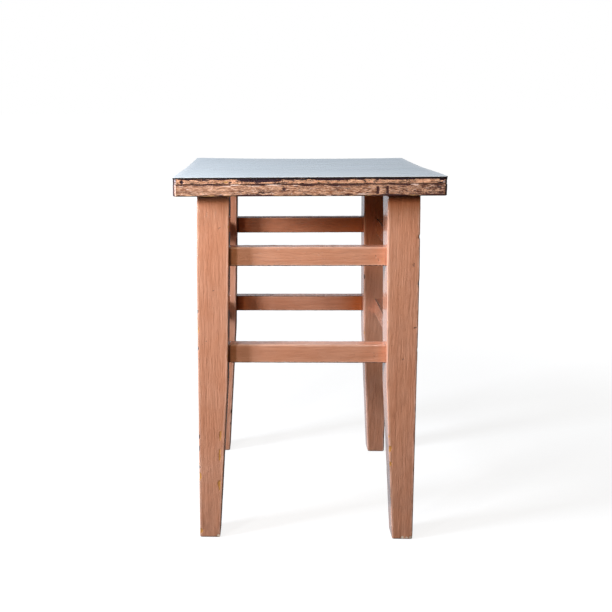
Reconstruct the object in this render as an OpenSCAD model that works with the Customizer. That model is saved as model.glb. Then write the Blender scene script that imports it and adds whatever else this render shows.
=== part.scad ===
// Square kitchen stool. A three-layer seat sits on four tapered legs that lean out a little
// towards the floor. Two tiers of rails tie the legs, with a stub tenon at each rail's end.
// Each leg's top is a square tenon through the seat's base board, spread there by a wedge.
// The origin is on the floor under the seat's centre, with the front towards -Y.

/* [Seat] */
// Width of the seat, side to side
seat_w = 304; // [280:1:360]
// Depth of the seat, front to back
seat_d = 302; // [280:1:360]
// Thickness of the base board that takes the legs
base_t = 13.4; // [10:0.1:20]
// Thickness of the plywood top board
top_t = 6.5; // [4:0.1:12]
// Thickness of the laminate sheet
laminate_t = 1.6; // [0.6:0.1:3]
// Radius of the seat's corners in plan
seat_corner_r = 4; // [1:0.5:12]
// Radius of the base board's lower edge
base_edge_r = 2; // [0.5:0.5:5]

/* [Legs] */
// Height of the legs' shoulders, where the seat rests
leg_h = 428.5; // [400:0.5:480]
// Distance over the legs at the seat, side to side
frame_w = 254; // [230:1:270]
// Distance over the legs at the seat, front to back
frame_d = 257; // [230:1:270]
// Side of the legs' square section at the seat
leg_w = 37; // [32:1:42]
// How far each leg leans out, both ways, between the seat and the floor
leg_lean = 8.2; // [0:0.2:14]
// Height at which the legs' outer faces begin to taper
outer_taper_z = 335; // [280:5:400]
// Wood taken off each outer face at the floor
outer_taper = 4; // [0:0.5:6]
// Height at which the legs' inner faces begin to taper
inner_taper_z = 200; // [120:5:220]
// Wood taken off each inner face at the floor
inner_taper = 8; // [0:0.5:10]
// Depth cut off the legs' long edges, measured along the section's diagonal
leg_arris = 0.8; // [0.2:0.1:2]
// Size of the bevel round each foot
foot_bevel = 2; // [0.5:0.5:4]

/* [Rails] */
// Height of a rail's section
rail_h = 22.5; // [18:0.5:28]
// Thickness of a rail's section
rail_t = 15; // [12:0.5:18]
// Height of the upper rails' lower edge above the floor
upper_rail_z = 342.5; // [320:0.5:370]
// Height of the lower rails' lower edge above the floor
lower_rail_z = 224; // [222:0.5:270]
// Setback of the front rails behind the legs' outer faces
front_rail_set = 11; // [6:0.5:14]
// Setback of the side and back rails behind the legs' outer faces
side_rail_set = 4.6; // [3:0.2:6]
// Bevel along a rail's long edges
rail_arris = 0.8; // [0.2:0.1:2]

/* [Joints] */
// Length of the side rails' tenons in the leg
side_tenon_l = 18; // [12:0.5:20]
// Wood left in the leg between the two mortises of one tier
mortise_web = 2.5; // [2:0.5:5]
// Thickness of the rails' tenons
tenon_t = 7; // [5:0.5:8]
// Shoulder above and below a rail's tenon
tenon_shoulder = 3; // [2:0.5:5]
// Side of the square tenon on top of each leg
seat_tenon_w = 20; // [16:0.5:24]
// Thick end of the wedge in each of those tenons
wedge_t = 3; // [2:0.25:4]
// Thin end of the wedge
wedge_tip_t = 1; // [0.6:0.1:1.8]
// Wood left between the wedge's kerf and the seat's underside
kerf_floor = 2; // [1.5:0.5:4]
// Clearance on each side of a tenon or a wedge
joint_gap = 0.15; // [0.05:0.05:0.3]
// Glue space past the end of a tenon or a wedge
glue_gap = 0.6; // [0.3:0.1:1.5]

/* [Finish] */
// Smoothness of the rounded edges
facets = 48; // [24:4:96]

/* [Hidden] */
$fn = facets;

// Longer than any piece, for profiles that cut right through
reach = 2 * (seat_w + seat_d);

// Heights of the seat's layers
top_z = leg_h + base_t;
laminate_z = top_z + top_t;

// Centre of each leg's top, from the stool's centre
leg_x = (frame_w - leg_w) / 2;
leg_y = (frame_d - leg_w) / 2;

// The four legs as signs of their X and Y
front_left = [-1, -1];
front_right = [1, -1];
back_left = [-1, 1];
back_right = [1, 1];
corners = [front_left, front_right, back_left, back_right];

// A leg's outer and inner faces at height z, from the centre of its top, positive outwards.
// Both faces lean out evenly and each loses its taper below the height where that begins.
function lean(z) = leg_lean * (1 - z / leg_h);
function cut(z, start_z, amount) = amount * max(0, 1 - z / start_z);
function outer(z) = leg_w / 2 + lean(z) - cut(z, outer_taper_z, outer_taper);
function inner(z) = -leg_w / 2 + lean(z) + cut(z, inner_taper_z, inner_taper);

// Middle height of a rail whose lower edge is at z
function rail_mid(z) = z + rail_h / 2;

// Distance of a rail's middle plane from the leg's centre line, for a setback at height z
function rail_plane(z, set) = outer(rail_mid(z)) - set - rail_t / 2;

// Setback of the rails at the front (-1) or at the back (1)
function end_set(side) = side < 0 ? front_rail_set : side_rail_set;

// The front and back tenons stop short of the side rails' mortises
front_tenon_l = leg_w - side_rail_set - (rail_t + tenon_t) / 2 - mortise_web - joint_gap - glue_gap;

// Height and depth of the wedge in a leg's top tenon
kerf_h = base_t - kerf_floor;
wedge_h = kerf_h - glue_gap;

wood_paint = [0.73, 0.46, 0.34];
seat_edge_paint = [0.62, 0.37, 0.22];
ply_edge = [0.70, 0.44, 0.26];
laminate_blue = [0.74, 0.80, 0.86];
bare_wood = [0.80, 0.66, 0.46];

// Seat

module seat_plan() {
    // Rectangle with true arcs at its corners
    r = seat_corner_r;
    square([seat_w - 2 * r, seat_d], center = true);
    square([seat_w, seat_d - 2 * r], center = true);
    for (c = corners)
        translate([c.x * (seat_w / 2 - r), c.y * (seat_d / 2 - r)])
            circle(r);
}

module base_profile(width) {
    // Upright section of the base board: square above, round at its two lower edges
    r = base_edge_r;
    translate([-width / 2, leg_h + r])
        square([width, base_t - r]);
    translate([-width / 2 + r, leg_h])
        square([width - 2 * r, base_t]);
    for (side = [-1, 1])
        translate([side * (width / 2 - r), leg_h + r])
            circle(r);
}

module seat_laminate() {
    color(laminate_blue)
        translate([0, 0, laminate_z])
            linear_extrude(laminate_t)
                seat_plan();
}

module seat_top_board() {
    color(ply_edge)
        translate([0, 0, top_z])
            linear_extrude(top_t)
                seat_plan();
}

module seat_base_board() {
    mortise_w = seat_tenon_w + 2 * joint_gap;
    color(seat_edge_paint)
        difference() {
            intersection() {
                translate([0, 0, leg_h])
                    linear_extrude(base_t)
                        seat_plan();
                across()
                    base_profile(seat_w);
                along()
                    base_profile(seat_d);
            }
            for (c = corners)
                translate([c.x * leg_x, c.y * leg_y, 0])
                    linear_extrude(reach)
                        square(mortise_w, center = true);
        }
}

module wedge_profile(low, high, gap) {
    // Upright section of a wedge between two heights above the kerf's floor
    function half(z) = (wedge_t - (wedge_t - wedge_tip_t) * (kerf_h - z) / wedge_h) / 2 + gap;
    polygon([
        [-half(low), low],
        [half(low), low],
        [half(high), high],
        [-half(high), high]
    ]);
}

module seat_wedges() {
    color(bare_wood)
        for (c = corners)
            translate([c.x * leg_x, c.y * leg_y, leg_h + kerf_floor])
                rotate([90, 0, 0])
                    linear_extrude(seat_tenon_w, center = true)
                        wedge_profile(kerf_h - wedge_h, kerf_h, 0);
}

// Profiles extruded right through the stool

module across() {
    // A profile of X and Z, carried along Y
    rotate([90, 0, 0])
        linear_extrude(reach, center = true)
            children();
}

module along() {
    // A profile of Y and Z, carried along X
    rotate([90, 0, 90])
        linear_extrude(reach, center = true)
            children();
}

// Legs

module leg_face_profile() {
    // One face of a leg seen square on, outer side to the right
    polygon([
        [inner(0) + foot_bevel, 0],
        [outer(0) - foot_bevel, 0],
        [outer(foot_bevel), foot_bevel],
        [outer(outer_taper_z), outer_taper_z],
        [outer(leg_h), leg_h],
        [inner(leg_h), leg_h],
        [inner(inner_taper_z), inner_taper_z],
        [inner(foot_bevel), foot_bevel]
    ]);
}

module leg_corner_profile() {
    // The leg along its outward diagonal, short of its corners by the arris
    d = sqrt(2);
    polygon([
        [inner(0) * d + leg_arris, 0],
        [outer(0) * d - leg_arris, 0],
        [outer(outer_taper_z) * d - leg_arris, outer_taper_z],
        [outer(leg_h) * d - leg_arris, leg_h],
        [inner(leg_h) * d + leg_arris, leg_h],
        [inner(inner_taper_z) * d + leg_arris, inner_taper_z]
    ]);
}

module leg_cross_profile() {
    // The leg along its other diagonal, the same on both sides
    function half(z) = (outer(z) - inner(z)) / sqrt(2) - leg_arris;
    polygon([
        [-half(0), 0],
        [half(0), 0],
        [half(inner_taper_z), inner_taper_z],
        [half(outer_taper_z), outer_taper_z],
        [half(leg_h), leg_h],
        [-half(leg_h), leg_h],
        [-half(outer_taper_z), outer_taper_z],
        [-half(inner_taper_z), inner_taper_z]
    ]);
}

module leg_blank() {
    // Leg below its shoulder, with its outer faces towards +X and +Y
    intersection() {
        across()
            leg_face_profile();
        along()
            leg_face_profile();
        rotate([90, 0, 45])
            linear_extrude(reach, center = true)
                leg_corner_profile();
        rotate([90, 0, -45])
            linear_extrude(reach, center = true)
                leg_cross_profile();
    }
}

module seat_tenon() {
    // Square tenon on the leg's top, rooted in the leg and slit for its wedge
    difference() {
        translate([0, 0, leg_h - base_t])
            linear_extrude(2 * base_t)
                square(seat_tenon_w, center = true);
        // The kerf is the wedge's own section, carried out through the tenon's top
        translate([0, 0, leg_h + kerf_floor])
            across()
                wedge_profile(0, base_t, joint_gap);
    }
}

module mortise(length) {
    // Pocket that opens on the leg's inner face and runs outwards along +X
    g = joint_gap;
    translate([-leg_w, -tenon_t / 2 - g, tenon_shoulder - g])
        cube([leg_w + length, tenon_t + 2 * g, rail_h - 2 * tenon_shoulder + 2 * g]);
}

module leg_mortises(side) {
    // Pockets of a leg at the front (-1) or at the back (1)
    for (z = [upper_rail_z, lower_rail_z]) {
        face = inner(rail_mid(z));
        // Front and back rails run along X
        translate([0, rail_plane(z, end_set(side)), z])
            mortise(face + front_tenon_l + glue_gap);
        // Side rails run along Y
        translate([rail_plane(z, side_rail_set), 0, z])
            rotate([0, 0, 90])
                mortise(face + side_tenon_l + glue_gap);
    }
}

module leg(corner) {
    // Mirrored into its place, so that its outer faces look out of the stool
    color(wood_paint)
        translate([corner.x * leg_x, corner.y * leg_y, 0])
            mirror([corner.x < 0 ? 1 : 0, 0, 0])
                mirror([0, corner.y < 0 ? 1 : 0, 0]) {
                    difference() {
                        leg_blank();
                        leg_mortises(corner.y);
                    }
                    seat_tenon();
                }
}

// Rails

module between_legs(leg_centre) {
    // Upright outline of the space between two legs, where a rail's shoulders meet them
    function half(z) = leg_centre + inner(z);
    polygon([
        [-half(0), 0],
        [half(0), 0],
        [half(inner_taper_z), inner_taper_z],
        [half(leg_h), leg_h],
        [-half(leg_h), leg_h],
        [-half(inner_taper_z), inner_taper_z]
    ]);
}

module rail_section() {
    // Rectangle with bevelled corners, its lower edge at 0
    w = rail_t / 2;
    a = rail_arris;
    polygon([
        [-w + a, 0],
        [w - a, 0],
        [w, a],
        [w, rail_h - a],
        [w - a, rail_h],
        [-w + a, rail_h],
        [-w, rail_h - a],
        [-w, a]
    ]);
}

module rail(z, leg_centre, tenon_l) {
    // Rail along X with its lower edge at height z, and its two tenons
    shoulder = leg_centre + inner(rail_mid(z));
    intersection() {
        translate([0, 0, z])
            along()
                rail_section();
        across()
            between_legs(leg_centre);
    }
    translate([-shoulder - tenon_l, -tenon_t / 2, z + tenon_shoulder])
        cube([2 * (shoulder + tenon_l), tenon_t, rail_h - 2 * tenon_shoulder]);
}

module front_rail(z, side) {
    // Front (-1) or back (1) rail
    color(wood_paint)
        translate([0, side * (leg_y + rail_plane(z, end_set(side))), 0])
            rail(z, leg_x, front_tenon_l);
}

module side_rail(z, side) {
    // Left (-1) or right (1) rail
    color(wood_paint)
        translate([side * (leg_x + rail_plane(z, side_rail_set)), 0, 0])
            rotate([0, 0, 90])
                rail(z, leg_y, side_tenon_l);
}

module leg_front_left() leg(front_left);
module leg_front_right() leg(front_right);
module leg_back_left() leg(back_left);
module leg_back_right() leg(back_right);
module rail_front_upper() front_rail(upper_rail_z, -1);
module rail_front_lower() front_rail(lower_rail_z, -1);
module rail_back_upper() front_rail(upper_rail_z, 1);
module rail_back_lower() front_rail(lower_rail_z, 1);
module rail_left_upper() side_rail(upper_rail_z, -1);
module rail_left_lower() side_rail(lower_rail_z, -1);
module rail_right_upper() side_rail(upper_rail_z, 1);
module rail_right_lower() side_rail(lower_rail_z, 1);

seat_laminate();
seat_top_board();
seat_base_board();
seat_wedges();
leg_front_left();
leg_front_right();
leg_back_left();
leg_back_right();
rail_front_upper();
rail_front_lower();
rail_back_upper();
rail_back_lower();
rail_left_upper();
rail_left_lower();
rail_right_upper();
rail_right_lower();
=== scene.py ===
"""Looks of a square wooden kitchen stool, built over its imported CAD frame.

The stool is a layered seat on four tapered legs that upper and lower rails tie together. Each visible CAD
node is replaced by a finer surface of the same size. The wedges inside the seat keep their CAD shape.
Lengths are in millimetres until a surface becomes a mesh. Meshes, finishes and lamps are in metres. Left is
-X, the front is -Y and the soles are at Z 0.
"""

import logging
from dataclasses import dataclass, field
from enum import Enum
from math import cos, pi, radians, sin
from typing import Sequence, Union

import bpy
import numpy as np
from mathutils import Matrix, Vector


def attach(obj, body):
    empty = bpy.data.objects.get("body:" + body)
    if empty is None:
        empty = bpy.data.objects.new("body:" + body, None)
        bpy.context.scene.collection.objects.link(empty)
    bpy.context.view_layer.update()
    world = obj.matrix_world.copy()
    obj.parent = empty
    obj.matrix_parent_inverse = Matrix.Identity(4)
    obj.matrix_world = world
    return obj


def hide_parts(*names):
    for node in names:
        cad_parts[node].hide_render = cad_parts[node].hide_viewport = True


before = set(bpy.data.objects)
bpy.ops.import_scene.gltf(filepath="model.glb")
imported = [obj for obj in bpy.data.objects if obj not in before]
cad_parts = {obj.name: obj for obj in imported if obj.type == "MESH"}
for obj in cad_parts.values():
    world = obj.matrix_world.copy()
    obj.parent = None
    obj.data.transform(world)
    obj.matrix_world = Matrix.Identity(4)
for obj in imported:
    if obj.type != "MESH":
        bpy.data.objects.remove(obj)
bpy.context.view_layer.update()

Array = np.ndarray
Triple = tuple[float, float, float]
Socket = bpy.types.NodeSocket
Feed = Union[Socket, float, Sequence[float]]
Sockets = bpy.types.bpy_prop_collection
Pair = tuple[Array, Array]

MM = 0.001
# The pieces of the frame have their grain this many millimetres apart, so that no two show the same.
GRAIN_APART = 700.0
# The values that each mesh carries for its finish: grain coordinates, closeness to an arris (on the
# laminate, a painted highlight), bare wood, dark dirt and painted shade, pale filler and a painted
# highlight, soft dirt and painted shade, and painted shade as a deeper, darker colour.
GRAIN = "grain_co"
ARRIS = "arris"
BARE = "bare"
DARK = "dark"
PALE = "pale"
DIRT_AND_SHADE = "dirt"
PAINTED_SHADE = "deep"
log = logging.getLogger("stool")


def srgb(red: float, green: float, blue: float) -> Triple:
    """Linear colour of a display colour.

    Args:
        red: Red, 0 to 255.
        green: Green, 0 to 255.
        blue: Blue, 0 to 255.

    Returns:
        The three linear values: ((c + 0.055) / 1.055) to the power 2.4, or c / 12.92 where c is small.
    """
    shares = (c / 255 for c in (red, green, blue))
    return tuple(((c + 0.055) / 1.055) ** 2.4 if c > 0.04045 else c / 12.92 for c in shares)


def place_in_scene(name: str, data: bpy.types.ID) -> bpy.types.Object:
    """Makes an object of a mesh, a lamp or a camera and links it to the scene."""
    made = bpy.data.objects.new(name, data)
    bpy.context.scene.collection.objects.link(made)
    return made


class Side(Enum):
    """Which way along X or Y a piece stands from the seat's centre."""

    LOW = -1
    HIGH = 1


class Axis(Enum):
    """The axis that a bar runs along. A section's own two directions are the next two axes in turn."""

    X = 0
    Y = 1
    Z = 2

    def place(self, a: Array, b: Array, along: Array) -> Array:
        """Joins section and length values into XYZ points.

        Args:
            a: Values in the section's first direction.
            b: Values in the section's second direction.
            along: Values along the bar.

        Returns:
            Points with X, Y and Z last.
        """
        parts = [None, None, None]
        parts[self.value] = along
        parts[(self.value + 1) % 3] = a
        parts[(self.value + 2) % 3] = b
        return np.stack(np.broadcast_arrays(*parts), axis=-1)


class Tone(Enum):
    """What a mark shows, by the value that it fills: bare wood; dark dirt, which also serves as painted
    shade; pale filler, which also serves as a painted highlight; or rubbed paint.
    """

    BARE = BARE
    DARK = DARK
    PALE = PALE
    RUBBED = ARRIS


@dataclass(frozen=True)
class Mark:
    """A dent with a colour of its own: a chip, a nick or a stain. With no depth it can also be only a
    painted shade or a painted highlight.

    Its weight is 1 - (dx/rx)^n - (dy/ry)^n - (dz/rz)^n, an ellipsoid for n = 2 and nearly a box for n = 8.
    The push inwards is depth times the weight, and the tone is strength times rise times the weight, or
    strength where that is less.
    """

    at: Triple
    reach: Triple
    depth: float
    tone: Tone
    strength: float = 1.0
    power: int = 2
    rise: float = 2.5


@dataclass(frozen=True)
class Relief:
    """A smooth random field on a strip that closes on itself: blended lattice values, halved each octave."""

    seed: int
    across: int
    along: int
    octaves: int = 3

    def at(self, u: Array, v: Array) -> Array:
        """Field values between about -1 and 1.

        Args:
            u: Place round the strip, 0 to 1; the field repeats.
            v: Place along the strip, 0 to 1.

        Returns:
            Each octave's four lattice values, blended by 3t^2 - 2t^3 both ways, weighted and summed.
        """
        rng = np.random.default_rng(self.seed)
        total = np.zeros(np.broadcast(u, v).shape)
        for octave in range(self.octaves):
            cells_u = self.across * 2**octave
            cells_v = self.along * 2**octave
            table = rng.random((cells_u, cells_v + 2)) * 2 - 1
            x = u * cells_u
            y = np.clip(v, 0, 1) * cells_v
            i = np.floor(x).astype(int)
            j = np.floor(y).astype(int)
            s = (x - i) ** 2 * (3 - 2 * (x - i))
            t = (y - j) ** 2 * (3 - 2 * (y - j))
            left = i % cells_u
            right = (i + 1) % cells_u
            low = table[left, j] * (1 - s) + table[right, j] * s
            high = table[left, j + 1] * (1 - s) + table[right, j + 1] * s
            total = total + (low * (1 - t) + high * t) * 0.5**octave
        return total


@dataclass(frozen=True)
class RoundedRing:
    """The points round a rounded rectangle, as shares, so that one ring serves sections of every size.

    A point is core * (half - radius) + radius * out, where core runs from -1 to 1 along a side and holds
    still round a corner, and out is the outward direction. The radius is at most half the shorter side
    times roundest.
    """

    per_side: int
    per_corner: int
    roundest: float = 0.98

    def shares(self) -> Pair:
        """The core and out of each point, anticlockwise from the side at the first direction's end.

        Returns:
            Two arrays of two columns: core and out.
        """
        step = np.linspace(-1, 1, self.per_side, endpoint=False) + 1 / self.per_side
        turn = np.linspace(0, pi / 2, self.per_corner + 1)
        cores = []
        outs = []
        for quarter in range(4):
            spin = np.array([[cos(quarter * pi / 2), sin(quarter * pi / 2)],
                             [-sin(quarter * pi / 2), cos(quarter * pi / 2)]])
            side_core = np.stack([np.ones_like(step), step], axis=1)
            side_out = np.stack([np.ones_like(step), np.zeros_like(step)], axis=1)
            corner_core = np.ones((len(turn), 2))
            corner_out = np.stack([np.cos(turn), np.sin(turn)], axis=1)
            cores.append(np.concatenate([side_core, corner_core]) @ spin)
            outs.append(np.concatenate([side_out, corner_out]) @ spin)
        return np.concatenate(cores), np.concatenate(outs)

    def carry(self, centre: Pair, half: Pair, radius: Array) -> Pair:
        """The ring at each row's own place and size.

        Args:
            centre: The section's centre in its two directions, one value a row.
            half: Half its two sizes, one value a row.
            radius: Corner radius, one value a row.

        Returns:
            The two section coordinates as arrays of rows by ring points.
        """
        core, out = self.shares()
        rad = np.minimum(radius, np.minimum(*half) * self.roundest)[:, None]
        a = centre[0][:, None] + core[None, :, 0] * (half[0][:, None] - rad) + rad * out[None, :, 0]
        b = centre[1][:, None] + core[None, :, 1] * (half[1][:, None] - rad) + rad * out[None, :, 1]
        return a, b

    def edge_distance(self, half: Pair) -> Array:
        """Distance of each point from the nearest arris: (1 - |core|) * half of the side that it lies on.

        Args:
            half: Half the section's two sizes, one value a row.

        Returns:
            Rows by ring points.
        """
        core, _ = self.shares()
        first = (1 - np.abs(core[None, :, 0])) * half[0][:, None]
        second = (1 - np.abs(core[None, :, 1])) * half[1][:, None]
        return np.maximum(first, second)


class Skin:
    """A closed surface on a grid: rings of points as rows, closed by a pole at each end.

    Rings run anticlockwise seen from the last row's end, so faces point outwards.
    """

    def __init__(self, points: Array) -> None:
        """Keeps the points and starts empty values.

        Args:
            points: Rows by ring points by XYZ, in millimetres.
        """
        self.points = points
        self.values: dict[str, Array] = {}
        for name in (ARRIS, BARE, DARK, PALE, DIRT_AND_SHADE, PAINTED_SHADE):
            self.values[name] = np.zeros(points.shape[:2])

    def outward(self) -> Array:
        """Unit normals.

        Returns:
            The cross product of the step round the ring and the step to the next row, at length 1.
        """
        around = np.roll(self.points, -1, axis=1) - np.roll(self.points, 1, axis=1)
        along = np.gradient(self.points, axis=0)
        normal = np.cross(around, along)
        return normal / np.maximum(np.linalg.norm(normal, axis=2, keepdims=True), 1e-9)

    def push(self, height: Array) -> None:
        """Moves each point along its normal.

        Args:
            height: Millimetres outwards, rows by ring points.
        """
        self.points = self.points + self.outward() * height[..., None]

    def raise_value(self, name: str, amount: Array) -> None:
        """Lifts a named value to at least the amount given.

        Args:
            name: The value's name.
            amount: 0 to 1, rows by ring points.
        """
        self.values[name] = np.maximum(self.values[name], np.clip(amount, 0, 1))

    def mark(self, marks: Sequence[Mark]) -> None:
        """Presses each mark into the surface and fills its tone.

        Args:
            marks: The marks, in the stool's own coordinates.
        """
        for item in marks:
            away = (self.points - np.array(item.at)) / np.array(item.reach)
            weight = np.clip(1 - (away**item.power).sum(axis=2), 0, 1)
            self.push(-item.depth * weight)
            self.raise_value(item.tone.value, item.strength * np.minimum(1, weight * item.rise))

    def piece(self, name: str, grain: Array) -> bpy.types.Object:
        """Makes the Blender mesh object.

        Args:
            name: The object's name.
            grain: Coordinates with the grain along the third, in millimetres, rows by ring points by 3.

        Returns:
            The object, at the origin, linked to the scene.
        """
        rows, cols = self.points.shape[:2]
        ids = np.arange(rows * cols).reshape(rows, cols)
        after = np.roll(ids, -1, axis=1)
        quads = np.stack([ids[:-1], after[:-1], after[1:], ids[1:]], axis=-1).reshape(-1, 4)
        first = np.stack([after[0], ids[0], np.full(cols, rows * cols)], axis=-1)
        last = np.stack([ids[-1], after[-1], np.full(cols, rows * cols + 1)], axis=-1)
        loops = np.concatenate([quads.ravel(), first.ravel(), last.ravel()])
        counts = np.concatenate([np.full(len(quads), 4), np.full(2 * cols, 3)])
        mesh = bpy.data.meshes.new(name)
        mesh.vertices.add(rows * cols + 2)
        mesh.vertices.foreach_set("co", self.with_poles(self.points * MM).astype(np.float32).ravel())
        mesh.loops.add(len(loops))
        mesh.loops.foreach_set("vertex_index", loops.astype(np.int32))
        mesh.polygons.add(len(counts))
        mesh.polygons.foreach_set("loop_start", (np.cumsum(counts) - counts).astype(np.int32))
        mesh.polygons.foreach_set("use_smooth", np.ones(len(counts), dtype=bool))
        mesh.update(calc_edges=True)
        mesh.validate()
        layer = mesh.attributes.new(GRAIN, "FLOAT_VECTOR", "POINT")
        layer.data.foreach_set("vector", self.with_poles(grain * MM).astype(np.float32).ravel())
        for key, value in self.values.items():
            layer = mesh.attributes.new(key, "FLOAT", "POINT")
            layer.data.foreach_set("value", self.with_poles(value[..., None]).astype(np.float32).ravel())
        return place_in_scene(name, mesh)

    @staticmethod
    def with_poles(grid: Array) -> Array:
        """The grid as a list, followed by the mean of its first row and the mean of its last."""
        ends = np.stack([grid[0].mean(axis=0), grid[-1].mean(axis=0)])
        return np.concatenate([grid.reshape(-1, grid.shape[2]), ends])


class NodeSheet:
    """Places and joins shader nodes in one material or node group."""

    def __init__(self, tree: bpy.types.NodeTree) -> None:
        """Keeps the tree.

        Args:
            tree: The tree that gets the nodes.
        """
        self.tree = tree

    def feed(self, socket: Socket, value: Feed) -> None:
        """Links a socket to another, or sets its own value.

        Args:
            socket: The input.
            value: An output socket, a number or a few numbers.
        """
        if isinstance(value, bpy.types.NodeSocket):
            self.tree.links.new(value, socket)
        elif socket.type == "RGBA" and len(value) == 3:
            socket.default_value = (*value, 1.0)
        else:
            socket.default_value = value

    def node(self, kind: str, inputs: dict[Union[str, int], Feed], **settings: object) -> bpy.types.Node:
        """Adds a node.

        Args:
            kind: The node's type name, without its ShaderNode start.
            inputs: Values for its input sockets, by name or number.
            **settings: The node's own settings.

        Returns:
            The node.
        """
        made = self.tree.nodes.new("ShaderNode" + kind)
        for key, value in settings.items():
            setattr(made, key, value)
        for key, value in inputs.items():
            self.feed(made.inputs[key], value)
        return made

    def math(self, operation: str, a: Feed, b: Feed = 0.0, c: Feed = 0.0) -> Socket:
        """A Math node's result.

        Args:
            operation: Its operation.
            a: First value.
            b: Second value.
            c: Third value, where the operation has one.

        Returns:
            The output socket.
        """
        return self.node("Math", {0: a, 1: b, 2: c}, operation=operation).outputs[0]

    def times(self, a: Feed, b: Feed) -> Socket:
        """The product of two values."""
        return self.math("MULTIPLY", a, b)

    def plus(self, a: Feed, b: Feed) -> Socket:
        """The sum of two values."""
        return self.math("ADD", a, b)

    def minus(self, a: Feed, b: Feed) -> Socket:
        """The first value less the second."""
        return self.math("SUBTRACT", a, b)

    def blend(self, factor: Feed, a: Feed, b: Feed, mode: str = "MIX") -> Socket:
        """A colour Mix node's result.

        Args:
            factor: Share of b.
            a: First colour.
            b: Second colour.
            mode: Blend mode.

        Returns:
            The output socket.
        """
        given = {0: factor, 6: a, 7: b}
        return self.node("Mix", given, data_type="RGBA", blend_type=mode, clamp_factor=True).outputs[2]

    def layers(self, color: Feed, steps: Sequence[tuple[Socket, float, Triple]]) -> Socket:
        """Lays colours over one another through masks.

        Args:
            color: The first colour.
            steps: For each layer its mask, the share of the mask that counts, and its colour.

        Returns:
            The output socket of the last layer.
        """
        for mask, share, tint in steps:
            color = self.blend(mask if share == 1.0 else self.times(mask, share), color, tint)
        return color

    def between(self, value: Feed, low: Feed, high: Feed, start: float = 0.0, end: float = 1.0) -> Socket:
        """A smooth step: start where the value is under low, end where it is over high.

        Args:
            value: What is measured.
            low: Lower limit.
            high: Upper limit.
            start: Result at the lower limit.
            end: Result at the upper limit.

        Returns:
            The output socket.
        """
        limits = {"Value": value, "From Min": low, "From Max": high, "To Min": start, "To Max": end}
        return self.node("MapRange", limits, interpolation_type="SMOOTHSTEP").outputs[0]

    def stretch(self, vector: Feed, scale: Feed) -> Socket:
        """A vector multiplied by another, part by part."""
        return self.node("VectorMath", {0: vector, 1: scale}, operation="MULTIPLY").outputs[0]

    def lengthen(self, vector: Feed, length: Feed) -> Socket:
        """A vector with its third part multiplied by a length, so that a texture runs along that way."""
        return self.stretch(vector, self.node("CombineXYZ", {0: 1.0, 1: 1.0, 2: length}).outputs[0])

    def noise(self, vector: Feed, scale: Feed, detail: float, rough: float, bend: float = 0.0) -> Socket:
        """A noise texture's value.

        Args:
            vector: Coordinates in metres.
            scale: Cells to the metre.
            detail: Octaves.
            rough: Strength of the finer octaves.
            bend: Distortion.

        Returns:
            The output socket, about 0.5 on average.
        """
        given = {"Vector": vector, "Scale": scale, "Detail": detail, "Roughness": rough, "Distortion": bend}
        return self.node("TexNoise", given).outputs[0]

    def attribute(self, name: str, vector: bool = False) -> Socket:
        """A mesh attribute's value, or its vector."""
        made = self.node("Attribute", {}, attribute_type="GEOMETRY", attribute_name=name)
        return made.outputs["Vector" if vector else "Fac"]

    def group(self, tree: bpy.types.NodeTree, inputs: dict[str, Feed]) -> bpy.types.Node:
        """Places a node group with its own values.

        Args:
            tree: The group.
            inputs: Values for its inputs.

        Returns:
            The group node.
        """
        made = self.tree.nodes.new("ShaderNodeGroup")
        made.node_tree = tree
        for key, value in inputs.items():
            self.feed(made.inputs[key], value)
        return made

    def surface(self, color: Feed, roughness: Feed, normal: Feed, **constants: float) -> bpy.types.Node:
        """Adds the Principled BSDF and the output.

        Args:
            color: Base Color.
            roughness: Roughness.
            normal: Normal.
            **constants: Other sockets by name, with _ for a space.

        Returns:
            The Principled BSDF.
        """
        shader = self.node("BsdfPrincipled", {"Base Color": color, "Roughness": roughness, "Normal": normal})
        for key, value in constants.items():
            shader.inputs[key.replace("_", " ")].default_value = value
        self.node("OutputMaterial", {"Surface": shader.outputs[0]})
        return shader

    def bump(self, height: Feed, distance: float) -> Socket:
        """A Bump node's normal.

        Args:
            height: Height, 0 to 1.
            distance: What a height of 1 is, in metres.

        Returns:
            The normal socket.
        """
        return self.node("Bump", {"Height": height, "Distance": distance}).outputs[0]


def new_group(
    name: str, inputs: dict[str, float], outputs: Sequence[str]
) -> tuple[NodeSheet, Sockets, Sockets]:
    """Starts a shader node group that works on coordinates, its input Vector.

    Args:
        name: The group's name.
        inputs: Names of its number inputs, with their default values.
        outputs: Names of its number outputs.

    Returns:
        The sheet to build on, its input sockets and its output sockets, by name.
    """
    tree = bpy.data.node_groups.new(name, "ShaderNodeTree")
    tree.interface.new_socket(name="Vector", in_out="INPUT", socket_type="NodeSocketVector")
    for key, value in inputs.items():
        made = tree.interface.new_socket(name=key, in_out="INPUT", socket_type="NodeSocketFloat")
        made.default_value = value
    for key in outputs:
        tree.interface.new_socket(name=key, in_out="OUTPUT", socket_type="NodeSocketFloat")
    start = tree.nodes.new("NodeGroupInput")
    end = tree.nodes.new("NodeGroupOutput")
    return NodeSheet(tree), start.outputs, end.inputs


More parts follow.
